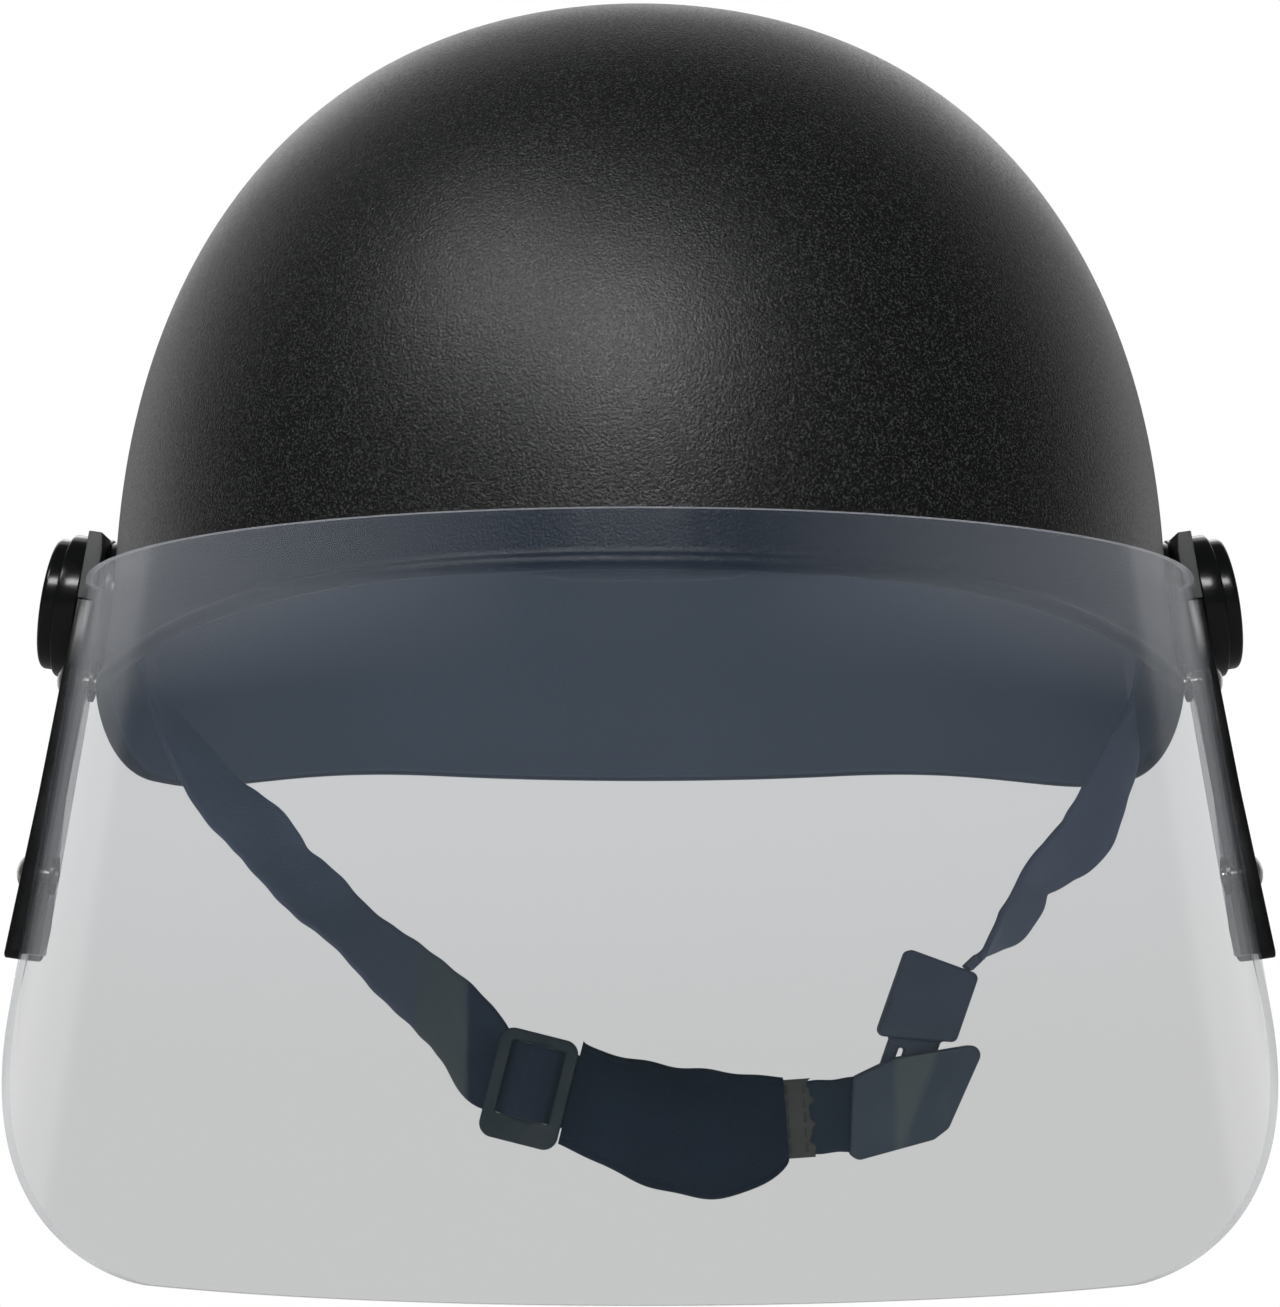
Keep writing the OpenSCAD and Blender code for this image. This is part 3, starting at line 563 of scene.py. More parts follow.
def buckle_plastic(name, tones, painted_highlight=None):
    """Satin acetal of the slider and the buckle, with a painted highlight across the socket's face: a paler
    stripe.
    """
    n = Nodes(name)
    grain = n.noise(1600, rough=0.55)
    wear = n.noise(120, detail=3.0, rough=0.6)
    tone = n.mix(n.range(wear, WEAR), *tones)
    # The paler stripe is a painted highlight
    if painted_highlight:
        x = n.axis("X")
        slant = n.math("SUBTRACT", x, n.math("MULTIPLY", n.math("ADD", n.axis("Z"), -HIGHLIGHT_LOW_Z), HIGHLIGHT_SLANT))
        inside = n.math("MULTIPLY", n.range(x, HIGHLIGHT_LEFT), n.range(slant, HIGHLIGHT_RIGHT, (1, 0)))
        tone = n.mix(inside, tone, painted_highlight)
    normal = n.bump(grain, strength=0.2, distance=0.0002)
    return n.finish(Base_Color=tone, Roughness=n.range(wear, SPREAD, (0.36, 0.46)), Normal=normal)


def thread():
    """Twisted sewing thread."""
    n = Nodes("thread")
    ply = n.noise(5200, rough=0.6, distortion=1.5)
    tone = n.mix(n.range(ply, WEAR), *THREAD_TONES)
    normal = n.bump(ply, strength=0.4, distance=0.0001)
    return n.finish(Base_Color=tone, Roughness=n.range(ply, SPREAD, (0.6, 0.8)), Normal=normal)


MAT = {
    "shell": shell_grain(),
    "inside": shell_inside(),
    "gloss": gloss_black(),
    "lug": lug_matt(),
    "nickel": nickel("nickel", NICKEL_TONES),
    "washer": nickel("washer", WASHER_TONES),
    "foam": foam_cloth(),
    "sheet": clear_sheet("clear_sheet", SHEET_HAZE_AND_REFLECTIONS, alpha=0.26, rough=0.06),
    "sheet_edge": clear_sheet("clear_edge_highlight", EDGE_HIGHLIGHT_TINTS, alpha=0.62, rough=0.22),
    "web": webbing("webbing", WEB_TONES),
    "web_left": webbing("webbing_left", WEB_TONES, LEFT_ZONES),
    "web_middle": webbing("webbing_middle", MIDDLE_TONES),
    "web_fold": webbing("webbing_fold", FOLD_TONES),
    "cup": cup_cloth(),
    "buckle": buckle_plastic("buckle_plastic", BUCKLE_TONES),
    "socket": buckle_plastic("socket_plastic", SOCKET_TONES, SOCKET_HIGHLIGHT),
    "slider": buckle_plastic("slider_plastic", SLIDER_TONES),
    "thread": thread(),
}


def dress(obj, *names):
    obj.data.materials.clear()
    for name in names:
        obj.data.materials.append(MAT[name])


# Shell: one smooth moulding in rings, from the outer crown round the rim to the inner crown
SHELL_COLUMNS = 288
DOME_RINGS = 60
SKIRT_RINGS = 10
BEAD_STEPS = 4
# Height over which the wall turns from the dome into the skirt, and after how many of them it is straight
TURN_H = 4.0
STRAIGHT_FROM = 20


def rim_z(y):
    return (-BROW_DROP * ramp(y, -HALF_L, TEMPLE_Y) - EAR_DROP * ramp(y, EAR_FRONT_Y, EAR_BACK_Y)
            + NAPE_RISE * ramp(y, NAPE_START_Y, NAPE_END_Y))


def flare(az):
    c = math.cos(az)
    end = BROW_FLARE if c > 0 else NAPE_FLARE
    return EAR_FLARE + (end - EAR_FLARE) * c * c


def skirt_out(az, z):
    """How far the flared skirt stands out at height z, eased round the hinge line."""
    below = (HINGE_Z - z) / TURN_H
    eased = TURN_H * (below if below > STRAIGHT_FROM else math.log1p(math.exp(below)))
    return eased * tan_deg(flare(az))


def dome_pt(az, tilt, depth, flared=True):
    level = max(math.cos(tilt), 0) ** (2 / DOME_OUT)
    rise = max(math.sin(tilt), 0) ** (2 / DOME_UP)
    z = HINGE_Z + (DOME_H - depth) * rise
    out = (skirt_out(az, z) if flared else 0) - depth
    return ((HALF_W + out) * level * math.sin(az), -(HALF_L + out) * level * math.cos(az), z)


def skirt_pt(az, z, depth):
    out = skirt_out(az, z) - depth
    return ((HALF_W + out) * math.sin(az), -(HALF_L + out) * math.cos(az), z)


def catmull(a, b, c, d, t):
    """The Catmull-Rom curve through a, b, c and d, at share t of the way from b to c."""
    square = (2 * a - 5 * b + 4 * c - d) * t * t
    cube = (3 * b - a - 3 * c + d) * t ** 3
    return 0.5 * (2 * b + (c - a) * t + square + cube)


def curve_point(stops, i, t):
    """The point at share t of the way from stop i to the next one; the end stops count twice."""
    four = (stops[max(i - 1, 0)], stops[i], stops[i + 1], stops[min(i + 2, len(stops) - 1)])
    return tuple(catmull(*values, t) for values in zip(*four))


def bead_profile():
    """Points round the rolled bead as (height above the rim, depth from the wall's outer face)."""
    stops = [(BEAD_H * 1.5, 0), (BEAD_H, 0), (BEAD_H * 0.7, -BEAD_OUT), (BEAD_H * 0.25, -BEAD_OUT),
             (0, WALL * 0.3), (BEAD_H * 0.25, WALL), (BEAD_H, WALL), (BEAD_H * 1.5, WALL)]
    return [curve_point(stops, i, k / BEAD_STEPS)
            for i in range(1, len(stops) - 2) for k in range(BEAD_STEPS)]


def shell_column(az, bead):
    """One column of points down the outside, round the bead and up the inside, and how many are outside."""
    rim = rim_z(-HALF_L * math.cos(az))
    points = [dome_pt(az, math.radians(90 - 90 * k / DOME_RINGS), 0) for k in range(1, DOME_RINGS)]
    top = rim + BEAD_H
    points += [skirt_pt(az, HINGE_Z + (top - HINGE_Z) * k / SKIRT_RINGS, 0) for k in range(SKIRT_RINGS)]
    outer = len(points)
    points += [skirt_pt(az, rim + h, depth) for h, depth in bead]
    points += [skirt_pt(az, top + (HINGE_Z - top) * k / SKIRT_RINGS, WALL) for k in range(SKIRT_RINGS)]
    points += [dome_pt(az, math.radians(90 * k / DOME_RINGS), WALL) for k in range(DOME_RINGS)]
    return points, outer


def build_shell():
    bead = bead_profile()
    columns = [shell_column(az, bead) for az in turns(SHELL_COLUMNS)]
    rings = len(columns[0][0])
    inner_from = columns[0][1] + len(bead) - BEAD_STEPS
    verts = [(0, 0, HINGE_Z + DOME_H)]
    verts += [columns[i][0][r] for r in range(rings) for i in range(SHELL_COLUMNS)]
    verts.append((0, 0, HINGE_Z + DOME_H - WALL))
    n = SHELL_COLUMNS
    obj = new_object("shell_moulding", verts, capped_faces(rings, n))
    inside = [0] * n + [int(r >= inner_from) for r in range(rings - 1) for i in range(n)] + [1] * n
    dress(obj, "shell", "inside")
    obj.data.polygons.foreach_set("material_index", inside)
    cut(obj, [cylinder_tool(BOLT_R + RUN_GAP, axle_matrix(s * HALF_W), length=8 * WALL) for s in (-1, 1)])
    smooth_by_angle(obj, SHARP_HARD)
    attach(obj, "helmet")
    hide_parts("shell")


# Foam pads: closed pillows on the inner wall, crowned towards the head
PAD_COLUMNS = 44
PAD_ROWS = 30
CROWN_COLUMNS = 96
CROWN_RINGS = 22
# Power of the outline's rounded corners: 2 would give an ellipse
PAD_ROUND = 5
# The crown pad's seam channel: how deep, where and how wide, as shares of the thickness and of the radius
CHANNEL_DEEP = 0.16
CHANNEL_AT = 0.52
CHANNEL_W = 0.05


def tilt_at(z):
    return math.asin(((z - HINGE_Z) / DOME_H) ** (DOME_UP / 2))


def pillow(u, v):
    """Share of the full thickness, from PAD_EDGE at the rounded edge to 1 in the middle."""
    edge = 1 - max(abs(2 * u - 1), abs(2 * v - 1)) ** 3
    corner = (max(1 - abs(2 * u - 1) ** 4, 0) * max(1 - abs(2 * v - 1) ** 4, 0)) ** 0.5
    return PAD_EDGE + (1 - PAD_EDGE) * (max(edge, 0) ** 0.35) * corner ** 0.25


def pad_outline(u, v):
    """Pulls the corners of the unit square in to round them."""
    x, y = 2 * u - 1, 2 * v - 1
    far = max(abs(x), abs(y))
    if far < 1e-6:
        return u, v
    pull = far / (abs(x) ** PAD_ROUND + abs(y) ** PAD_ROUND) ** (1 / PAD_ROUND)
    return (1 + x * pull) / 2, (1 + y * pull) / 2


def closed_slab(name, columns, rows, point, near=-1, far=1):
    """A closed slab between two grids of points, which point(u, v, face) gives for its near and far faces."""
    verts = [point(c / columns, r / rows, face)
             for face in (near, far) for c in range(columns + 1) for r in range(rows + 1)]
    n = rows + 1
    half = (columns + 1) * n
    faces = []
    for c in range(columns):
        for r in range(rows):
            a = c * n + r
            faces.append([a, a + n, a + n + 1, a + 1])
            faces.append([half + a, half + a + 1, half + a + n + 1, half + a + n])
    rim = list(range(rows)) + [c * n + rows for c in range(columns)]
    rim += [columns * n + r for r in range(rows, 0, -1)] + [c * n for c in range(columns, 0, -1)]
    for i, a in enumerate(rim):
        b = rim[(i + 1) % len(rim)]
        faces.append([a, b, half + b, half + a])
    return new_object(name, verts, faces)


def build_wall_pad(node, middle):
    low, high = tilt_at(PAD_Z), tilt_at(PAD_Z + PAD_H)

    def point(u, v, share):
        a, b = pad_outline(u, v)
        az = math.radians(middle + PAD_SPAN * (a - 0.5))
        depth = WALL + PAD_GAP + share * PAD_T * pillow(u, v)
        return dome_pt(az, low + (high - low) * b, depth, flared=False)

    obj = closed_slab(node + "_foam", PAD_COLUMNS, PAD_ROWS, point, near=0)
    dress(obj, "foam")
    smooth_by_angle(obj, SHARP_SOFT)
    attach(obj, "helmet")
    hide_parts(node)


def build_crown_pad():
    edge = math.radians(CROWN_PAD_EDGE)

    def ring(k, share):
        out = k / CROWN_RINGS
        tilt = math.pi / 2 - (math.pi / 2 - edge) * out
        swell = PAD_EDGE + (1 - PAD_EDGE) * max(1 - out ** 5, 0) ** 0.4
        channel = 1 - CHANNEL_DEEP * math.exp(-((out - CHANNEL_AT) / CHANNEL_W) ** 2)
        depth = WALL + PAD_GAP + share * PAD_T * swell * channel
        return [dome_pt(az, tilt, depth, flared=False) for az in turns(CROWN_COLUMNS)]

    verts = [(0, 0, HINGE_Z + DOME_H - WALL - PAD_GAP)]
    for k in range(1, CROWN_RINGS + 1):
        verts += ring(k, 0)
    for k in range(CROWN_RINGS, 0, -1):
        verts += ring(k, 1)
    verts.append((0, 0, HINGE_Z + DOME_H - WALL - PAD_GAP - PAD_T))
    obj = new_object("crown_pad_foam", verts, capped_faces(2 * CROWN_RINGS, CROWN_COLUMNS))
    dress(obj, "foam")
    smooth_by_angle(obj, SHARP_SOFT)
    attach(obj, "helmet")
    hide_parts("crown_pad")


# Visor: a ruled sheet with true thickness


def arm_x(y, z):
    """The leaning plane of the arm's inner face."""
    out = (HINGE_Z - z) * tan_deg(ARM_TILT) / math.cos(math.radians(ARM_TOE))
    return ARM_FACE + y * tan_deg(ARM_TOE) + out


def reach(z):
    return VISOR_REACH + (VISOR_TOP - z) * tan_deg(FRONT_SPLAY)


def visor_x(y, z, depth):
    if y >= FLAT_Y:
        return arm_x(y, z) - depth
    edge = arm_x(FLAT_Y, z) - depth
    b = reach(z) - depth
    return edge * math.sqrt(max(1 - (y / b) ** 2, 0)) / math.sqrt(1 - (FLAT_Y / b) ** 2)


def visor_top_z(y):
    return VISOR_TOP + VISOR_TOP_RISE * (y + VISOR_REACH) / VISOR_REACH


def visor_low_z(y):
    ride = max(y + SWEEP_START, 0)
    full = VISOR_DROP - ARM_DROP + HINGE_Z + ARM_PAST
    rise = full * (ride / (FLAT_Y + SWEEP_START)) ** SWEEP_POWER
    return -VISOR_DROP + min(rise, full)


def visor_pt(u, top, depth):
    a = abs(u)
    s = 1 if u < 0 else -1
    if a <= FRONT_SHARE:
        y_ref = FLAT_Y - (VISOR_REACH + FLAT_Y) * math.cos(math.pi / 2 * a / FRONT_SHARE)
    else:
        y_ref = FLAT_Y + (REAR_Y - FLAT_Y) * (a - FRONT_SHARE) / (1 - FRONT_SHARE)
    z = visor_top_z(y_ref) if top else visor_low_z(y_ref)
    grow = (reach(z) + FLAT_Y) / (VISOR_REACH + FLAT_Y) if y_ref < FLAT_Y else 1
    y = FLAT_Y + (y_ref - FLAT_Y) * grow
    if y_ref < FLAT_Y:
        y = FLAT_Y + (y - FLAT_Y) * (reach(z) - depth + FLAT_Y) / (reach(z) + FLAT_Y)
    return Vector((s * visor_x(y, z, depth), y, z))


VISOR_COLUMNS = 200
VISOR_ROWS = 20
# The rivets' places on the arm, along Y and up from the hinge
RIVET_UP = (-(HEAD_R - ARM_WAIST / 2) - 2, -16.9)
RIVET_LOW = (-(HEAD_R + ARM_LEAN) + FOOT_W * 0.32, -ARM_DROP + 18)
# The round notch in the sheet round the arm's head: its air, and how far out its middle is
NOTCH_GAP = 0.5
NOTCH_OUT = 5


def build_visor():
    def sheet_pt(u, v, depth):
        top = visor_pt(2 * u - 1, True, depth)
        low = visor_pt(2 * u - 1, False, depth)
        return top + (low - top) * v

    obj = closed_slab("visor_sheet", VISOR_COLUMNS, VISOR_ROWS, sheet_pt, SEAT_GAP, SEAT_GAP + VISOR_T)
    dress(obj, "sheet", "sheet_edge")
    faces_on_sheet = 2 * VISOR_COLUMNS * VISOR_ROWS
    on_edge = [int(i >= faces_on_sheet) for i in range(len(obj.data.polygons))]
    obj.data.polygons.foreach_set("material_index", on_edge)
    tools = []
    for s in (-1, 1):
        notch = axle_matrix(s * (HALF_W + NOTCH_OUT))
        tools.append(cylinder_tool(HEAD_R + NOTCH_GAP, notch, length=30, sides=96))
        for back, up in (RIVET_UP, RIVET_LOW):
            place = arm_matrix(s) @ Matrix.Translation((0, back, up)) @ ACROSS
            tools.append(cylinder_tool(RIVET_R, place, length=12, sides=32))
    cut(obj, tools)
    smooth_by_angle(obj, SHARP_HARD)
    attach(obj, "visor")
    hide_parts("visor")


# Webbing: a strip swept along a smooth curve through stops (x, y, z, twist)


def hang(x, z, y=0.0, twist=90.0):
    """A stop given as shares of the anchor's distance from the middle and of the strap's drop."""
    return (x * ANCHOR_X, y, HINGE_Z - z * STRAP_DROP, twist)


EYELET_T = WEB_T + 0.7
EYELET_OUTER = HALF_W - WALL - FACE_GAP - 0.1
EYELET_INNER = EYELET_OUTER - EYELET_T
ANCHOR_X = (EYELET_OUTER + EYELET_INNER) / 2
TAB_LOW = 12
TAB_HOLE_R = 3.7
TAB_SHARE = TAB_LOW / STRAP_DROP

SLIDER_TILT = 14
SLIDER_BAR = 3
SLIDER_RIM = 2.6
SLIDER_AT = hang(-0.221, 0.905)
SLIDER_RISE = 1.4
SLOT_W = (SLIDER_W - SLIDER_BAR - 2 * SLIDER_RIM) / 2
SLOT_MID = (SLIDER_BAR + SLOT_W) / 2
TURN_IN = SLOT_W / 2 - 0.3
OVER = (SLIDER_T + WEB_T) / 2 + SEAT_GAP
CUP_LEAD = SLIDER_W / 2 + FACE_GAP
CUP_LAP = 1.6


def slider_stop(along, out, lift=0.0):
    """A stop given along the slider's middle line, behind it and up from it."""
    lean = math.radians(SLIDER_TILT)
    up = SLIDER_RISE + lift
    return (SLIDER_AT[0] + along * math.cos(lean) + up * math.sin(lean), out,
            SLIDER_AT[2] - along * math.sin(lean) + up * math.cos(lean), 90.0)


# The left webbing hangs from its tab, comes over the slider's bar and ends under the cup
LEFT_STOPS = [
    hang(-1, TAB_SHARE, twist=0),
    hang(-0.98, 0.16, twist=6),
    hang(-0.93, 0.24, twist=22),
    hang(-0.85, 0.35, twist=40),
    hang(-0.765, 0.424, twist=56),
    hang(-0.713, 0.486, twist=46),
    hang(-0.655, 0.537, twist=54),
    hang(-0.58, 0.601, twist=42),
    hang(-0.486, 0.679, twist=60),
    hang(-0.39, 0.757, OVER / 2, twist=82),
    hang(-0.335, 0.815, OVER + SEAT_GAP),
    slider_stop(-SLIDER_W / 2 - 0.6, OVER + SEAT_GAP, lift=0.3),
    slider_stop(-SLOT_MID - TURN_IN - 1, OVER),
    slider_stop(-SLOT_MID - TURN_IN, OVER),
    slider_stop(-SLOT_MID, 0),
    slider_stop(-SLOT_MID + TURN_IN, -OVER),
    slider_stop(0, -OVER),
    slider_stop(SLOT_MID - TURN_IN, -OVER),
    slider_stop(SLOT_MID, 0),
    slider_stop(SLOT_MID + TURN_IN, OVER),
    slider_stop(CUP_LEAD + CUP_LAP, OVER),
]

PLUG_AT = (61.1, -72)
LOOP_LEAN = 27
LOOP_H = 3
LOOP_IN = 2.6


def plug_pt(x, z):
    """A point given in the leaning plug's own directions, from its middle."""
    lean = math.radians(PLUG_LEAN)
    return Vector((PLUG_AT[0] + x * math.cos(lean) + z * math.sin(lean), 0,
                   PLUG_AT[1] - x * math.sin(lean) + z * math.cos(lean)))


def above_loop(d):
    """A point on the loop's middle line, d above the loop."""
    lean = math.radians(PLUG_LEAN + LOOP_LEAN)
    top = PLUG_L / 2 + SEAT_GAP + WEB_T / 2 * math.sin(math.radians(LOOP_LEAN))
    start = plug_pt(PLUG_W / 2 - LOOP_IN, top)
    return start + (LOOP_H + d) * Vector((math.sin(lean), 0, math.cos(lean)))


# The right webbing hangs from its tab and ends above the plug's loop
RIGHT_STOPS = [
    hang(1, TAB_SHARE, twist=0),
    hang(0.995, 0.18, twist=10),
    hang(0.975, 0.265, twist=34),
    hang(0.942, 0.343, twist=44),
    hang(0.896, 0.431, twist=54),
    hang(0.843, 0.477, twist=44),
    hang(0.796, 0.515, twist=31),
    hang(0.775, 0.558, twist=33),
    hang(0.744, 0.6, twist=31),
    (*above_loop(6), 18.0),
    (*above_loop(FACE_GAP), 0.0),
]

CUP_START = slider_stop(CUP_LEAD + FACE_GAP, OVER)
CUP_FALL = 5.6
CUP_SAG = 1.8
MIDDLE_RISE = 4
CUP_BULGE = 7
CUP_END_H = WEB_W + 2
SOCKET_X = 47.2
MIDDLE_X = CUP_START[0] + CUP_L + FACE_GAP


def cup_mid(u):
    return CUP_START[2] - CUP_FALL * u


def middle_z(x):
    return cup_mid(1) + (x - MIDDLE_X) * tan_deg(MIDDLE_RISE)


MIDDLE_STOPS = [(x, 0.0, middle_z(x), 90.0) for x in (MIDDLE_X - CUP_LAP, SOCKET_X)]


SELVEDGE_STEPS = 6
FLAT_STEPS = 10
# The webbing's width wavers a little along it: how much, how fast with the length, and from which angle
WAVES = ((0.12, 0.9, 0), (0.09, 0.37, 1))


def web_section():
    """Points round the webbing: half-round edges and flat faces, in half widths and half thicknesses."""
    edge = WEB_T / WEB_W
    points = []
    for side in (1, -1):
        for k in range(SELVEDGE_STEPS + 1):
            turn = math.pi * (0.5 - k / SELVEDGE_STEPS) * side
            points.append((side * (1 - edge + edge * math.cos(turn)), math.sin(turn)))
        for k in range(1, FLAT_STEPS):
            points.append((side * (1 - edge) * (1 - 2 * k / FLAT_STEPS), -side))
    return points


def build_strip(name, stops, steps, material):
    """Webbing swept through its stops; it keeps its exact width where it runs through the slider."""
    path = [curve_point(stops, i, k / steps) for i in range(len(stops) - 1) for k in range(steps)]
    path.append(stops[-1])
    section = web_section()
    count = len(section)
    verts = []
    uvs = []
    travelled = 0.0
    for i, stop in enumerate(path):
        here = Vector(stop[:3])
        before = Vector(path[max(i - 1, 0)][:3])
        after = Vector(path[min(i + 1, len(path) - 1)][:3])
        along = (after - before).normalized()
        if i:
            travelled += (here - before).length
        side_way = (Vector((0, 1, 0)) - along[1] * along).normalized()
        face_way = along.cross(side_way)
        twist = math.radians(stop[3])
        wide = math.cos(twist) * side_way + math.sin(twist) * face_way
        thin = along.cross(wide)
        near = max(1 - (here - Vector(SLIDER_AT[:3])).length / SLIDER_W, 0)
        wave = sum(size * math.sin(travelled * pace + start) for size, pace, start in WAVES)
        half = WEB_W / 2 + (SEAT_GAP if near else wave)
        for across, out in section:
            verts.append(here + wide * across * half + thin * out * WEB_T / 2)
            uvs.append((across / 2 + 0.5, travelled * MM))
    faces = band_faces(0, len(path) - 1, count)
    faces.append(list(range(count)))
    faces.append(list(range((len(path) - 1) * count, len(path) * count)))
    obj = new_object(name, verts, faces)
    weave_uv(obj, lambda index, co: uvs[index])
    dress(obj, material)
    smooth_by_angle(obj, SHARP_WEB)
    return obj


TAB_SIDES = 48
TAB_STEPS = 6


def build_tab(side):
    """The flat round end of the webbing, which the eyelet is pressed through."""
    r = WEB_W / 2
    half_turn = [math.pi * k / TAB_SIDES for k in range(TAB_SIDES + 1)]
    outline = [(r * math.cos(turn), HINGE_Z + r * math.sin(turn)) for turn in half_turn]
    low = HINGE_Z - TAB_LOW
    outline += [(-r, HINGE_Z - TAB_LOW * k / TAB_STEPS) for k in range(1, TAB_STEPS)]
    outline += [(-r, low), (r, low)]
    outline += [(r, low + TAB_LOW * k / TAB_STEPS) for k in range(1, TAB_STEPS)]
    count = len(outline)
    x = side * ANCHOR_X
    verts = [(x + face * WEB_T / 2, y, z) for face in (-1, 1) for y, z in outline]
    faces = band_faces(0, 1, count)
    faces += [list(range(count)), list(range(count, 2 * count))]
    obj = new_object("tab", verts, faces)
    cut(obj, [cylinder_tool(TAB_HOLE_R, axle_matrix(x), length=10, sides=TAB_SIDES)])
    weave_uv(obj, lambda index, co: (co.y / (WEB_W * MM) + 0.5, -co.z))
    dress(obj, "web")
    smooth_by_angle(obj, SHARP_HARD)
    return obj


def join(first, *others):
    """Joins meshes into the first one, with their materials and UVs."""
    with bpy.context.temp_override(active_object=first, selected_editable_objects=[first, *others]):
        bpy.ops.object.join()
    return first


def build_straps():
    left = join(build_strip("webbing_left", LEFT_STOPS, 10, "web_left"), build_tab(-1))
    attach(left, "chin_strap")
    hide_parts("strap_left")
    right = join(build_strip("webbing_right", RIGHT_STOPS, 12, "web"), build_tab(1))
    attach(right, "chin_strap")
    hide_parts("strap_right")
    middle = build_strip("webbing_middle", MIDDLE_STOPS, 30, "web_middle")
    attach(middle, "chin_strap")
    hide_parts("strap_middle")
    return right


# The webbing is folded and stitched next to the cup. The fold stands out from it by FOLD_GROW
FOLD_W = 6.2
FOLD_GROW = 0.45
FOLD_COLUMNS = 16
FOLD_ROWS = 40
FOLD_X = MIDDLE_X - CUP_LAP / 2
# Length, thickness and spacing of the stitches, and where their two rows are as shares of the fold's width
STITCH_L = 2.1
STITCH_R = 0.22
STITCH_END_R = 0.02
STITCH_SPACE = 1.35 * STITCH_L
STITCH_ROWS = (0.22, 0.78)
STITCH_SIDES = 8
STITCH_RINGS = 6


def build_fold():
    """The sleeve of folded webbing, with slightly ragged sides."""

    def point(u, v, face):
        ragged = 0.5 * math.sin(v * 19) * (2 * u - 1) + 0.3 * math.sin(v * 43 + 2 * u)
        x = FOLD_X + FOLD_W * u + ragged * abs(2 * u - 1)
        up = (WEB_W / 2 + FOLD_GROW) * (2 * v - 1)
        edge = max(1 - abs(2 * v - 1) ** 8, 0) ** 0.5 * max(1 - abs(2 * u - 1) ** 8, 0) ** 0.5
        out = (WEB_T / 2 + FOLD_GROW * (0.3 + 0.7 * edge)) * face
        return Vector((x - up * tan_deg(MIDDLE_RISE), out, middle_z(x) + up))

    obj = closed_slab("webbing_fold", FOLD_COLUMNS, FOLD_ROWS, point)
    weave_uv(obj, lambda index, co: (co.z / (WEB_W * MM), co.x))
    dress(obj, "web_fold")
    smooth_by_angle(obj, SHARP_WEB)
    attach(obj, "chin_strap")


def stitch_points(x, middle):
    """Rings of points along one stitch, whose middle is given up from the webbing's middle line."""
    points = []
    for k in range(STITCH_RINGS + 1):
        along = math.cos(math.pi * k / STITCH_RINGS)
        r = STITCH_R * math.sqrt(max(1 - along ** 4, 0)) + STITCH_END_R
        for turn in turns(STITCH_SIDES):
            points.append((x + r * math.cos(turn) - (middle + along) * tan_deg(MIDDLE_RISE),
                           -(WEB_T / 2 + FOLD_GROW) + r * math.sin(turn),
                           middle_z(x) + middle + along * STITCH_L / 2))
    return points


def build_stitches():
    """Two rows of short stitches down the front of the fold."""
    verts = []
    faces = []
    count = int(WEB_W / STITCH_SPACE)
    for row in STITCH_ROWS:
        for i in range(count):
            base = len(verts)
            end = base + STITCH_RINGS * STITCH_SIDES
            verts += stitch_points(FOLD_X + FOLD_W * row, (i + 0.5 - count / 2) * WEB_W / count)
            faces += band_faces(base, STITCH_RINGS, STITCH_SIDES)
            faces.append(list(range(base, base + STITCH_SIDES)))
            faces.append(list(range(end, end + STITCH_SIDES)))
    obj = new_object("fold_stitches", verts, faces)
    dress(obj, "thread")
    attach(obj, "chin_strap")


# Chin cup
CUP_COLUMNS = 96
CUP_ROWS = 44
# Powers that move the lower edge's deepest place to the right and the upper edge's to the left
DIP_PLACE = 1.45
DIP_ROUND = 0.75
SAG_PLACE = 0.6
# The cup's edges keep this many degrees of its bend
BEND_EDGE = 18
# Seam inside the edge: how deep, where and how wide, as shares of the thickness and of the half height
SEAM_DEEP = 0.3
SEAM_AT = 0.86
SEAM_W = 0.03
# The cover's thickness at its edge and just inside it, as shares of the cup's
PUFF_EDGE = 0.25
PUFF_SIDE = 0.45
RIPPLE = 0.3


def cup_pt(u, v, depth):
    """A point of the cup: u from left to right, v from the upper edge down, depth behind its middle."""
    height = CUP_H + (CUP_END_H - CUP_H) * u
    dip = CUP_DIP * max(math.sin(math.pi * u ** DIP_PLACE), 0) ** DIP_ROUND
    sag = CUP_SAG * math.sin(math.pi * u ** SAG_PLACE)
    up = height * (0.5 - v) - dip * v - sag * (1 - v)
    bend = math.sin(math.pi * u) * math.sin(math.radians(BEND_EDGE + (180 - 2 * BEND_EDGE) * v))
    along = CUP_L * u + FACE_GAP * (2 * u - 1)
    lean = tan_deg(SLIDER_TILT) * (1 - u) - tan_deg(MIDDLE_RISE) * u
    out = OVER * (1 - u) - CUP_BULGE * bend + depth
    return Vector((CUP_START[0] + along + up * lean, out, cup_mid(u) + up))


def build_cup():
    def point(u, v, face):
        edge_v = abs(2 * v - 1)
        puff = PUFF_SIDE + (1 - PUFF_SIDE) * max(1 - edge_v ** 4, 0) ** 0.5
        if edge_v > 0.999:
            puff = PUFF_EDGE
        seam = 1 - SEAM_DEEP * math.exp(-((edge_v - SEAM_AT) / SEAM_W) ** 2)
        p = cup_pt(u, v, face * 0.5 * CUP_T * puff * seam)
        p.z += RIPPLE * math.sin(u * 21 + 2 * v + 1) * math.sin(math.pi * u) * edge_v ** 6
        return p

    obj = closed_slab("chin_cup_cover", CUP_COLUMNS, CUP_ROWS, point)
    weave_uv(obj, lambda index, co: (co.x, co.z))
    dress(obj, "cup")
    smooth_by_angle(obj, SHARP_SOFT)
    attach(obj, "chin_strap")
    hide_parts("chin_cup")


# Hard parts: the model's own piece, joined up where points meet and with its edges rounded
WELD = 0.02 * MM
FLAT_ANGLE = 0.6
ROUND_ANGLE = 35
ROUND_STEPS = 3


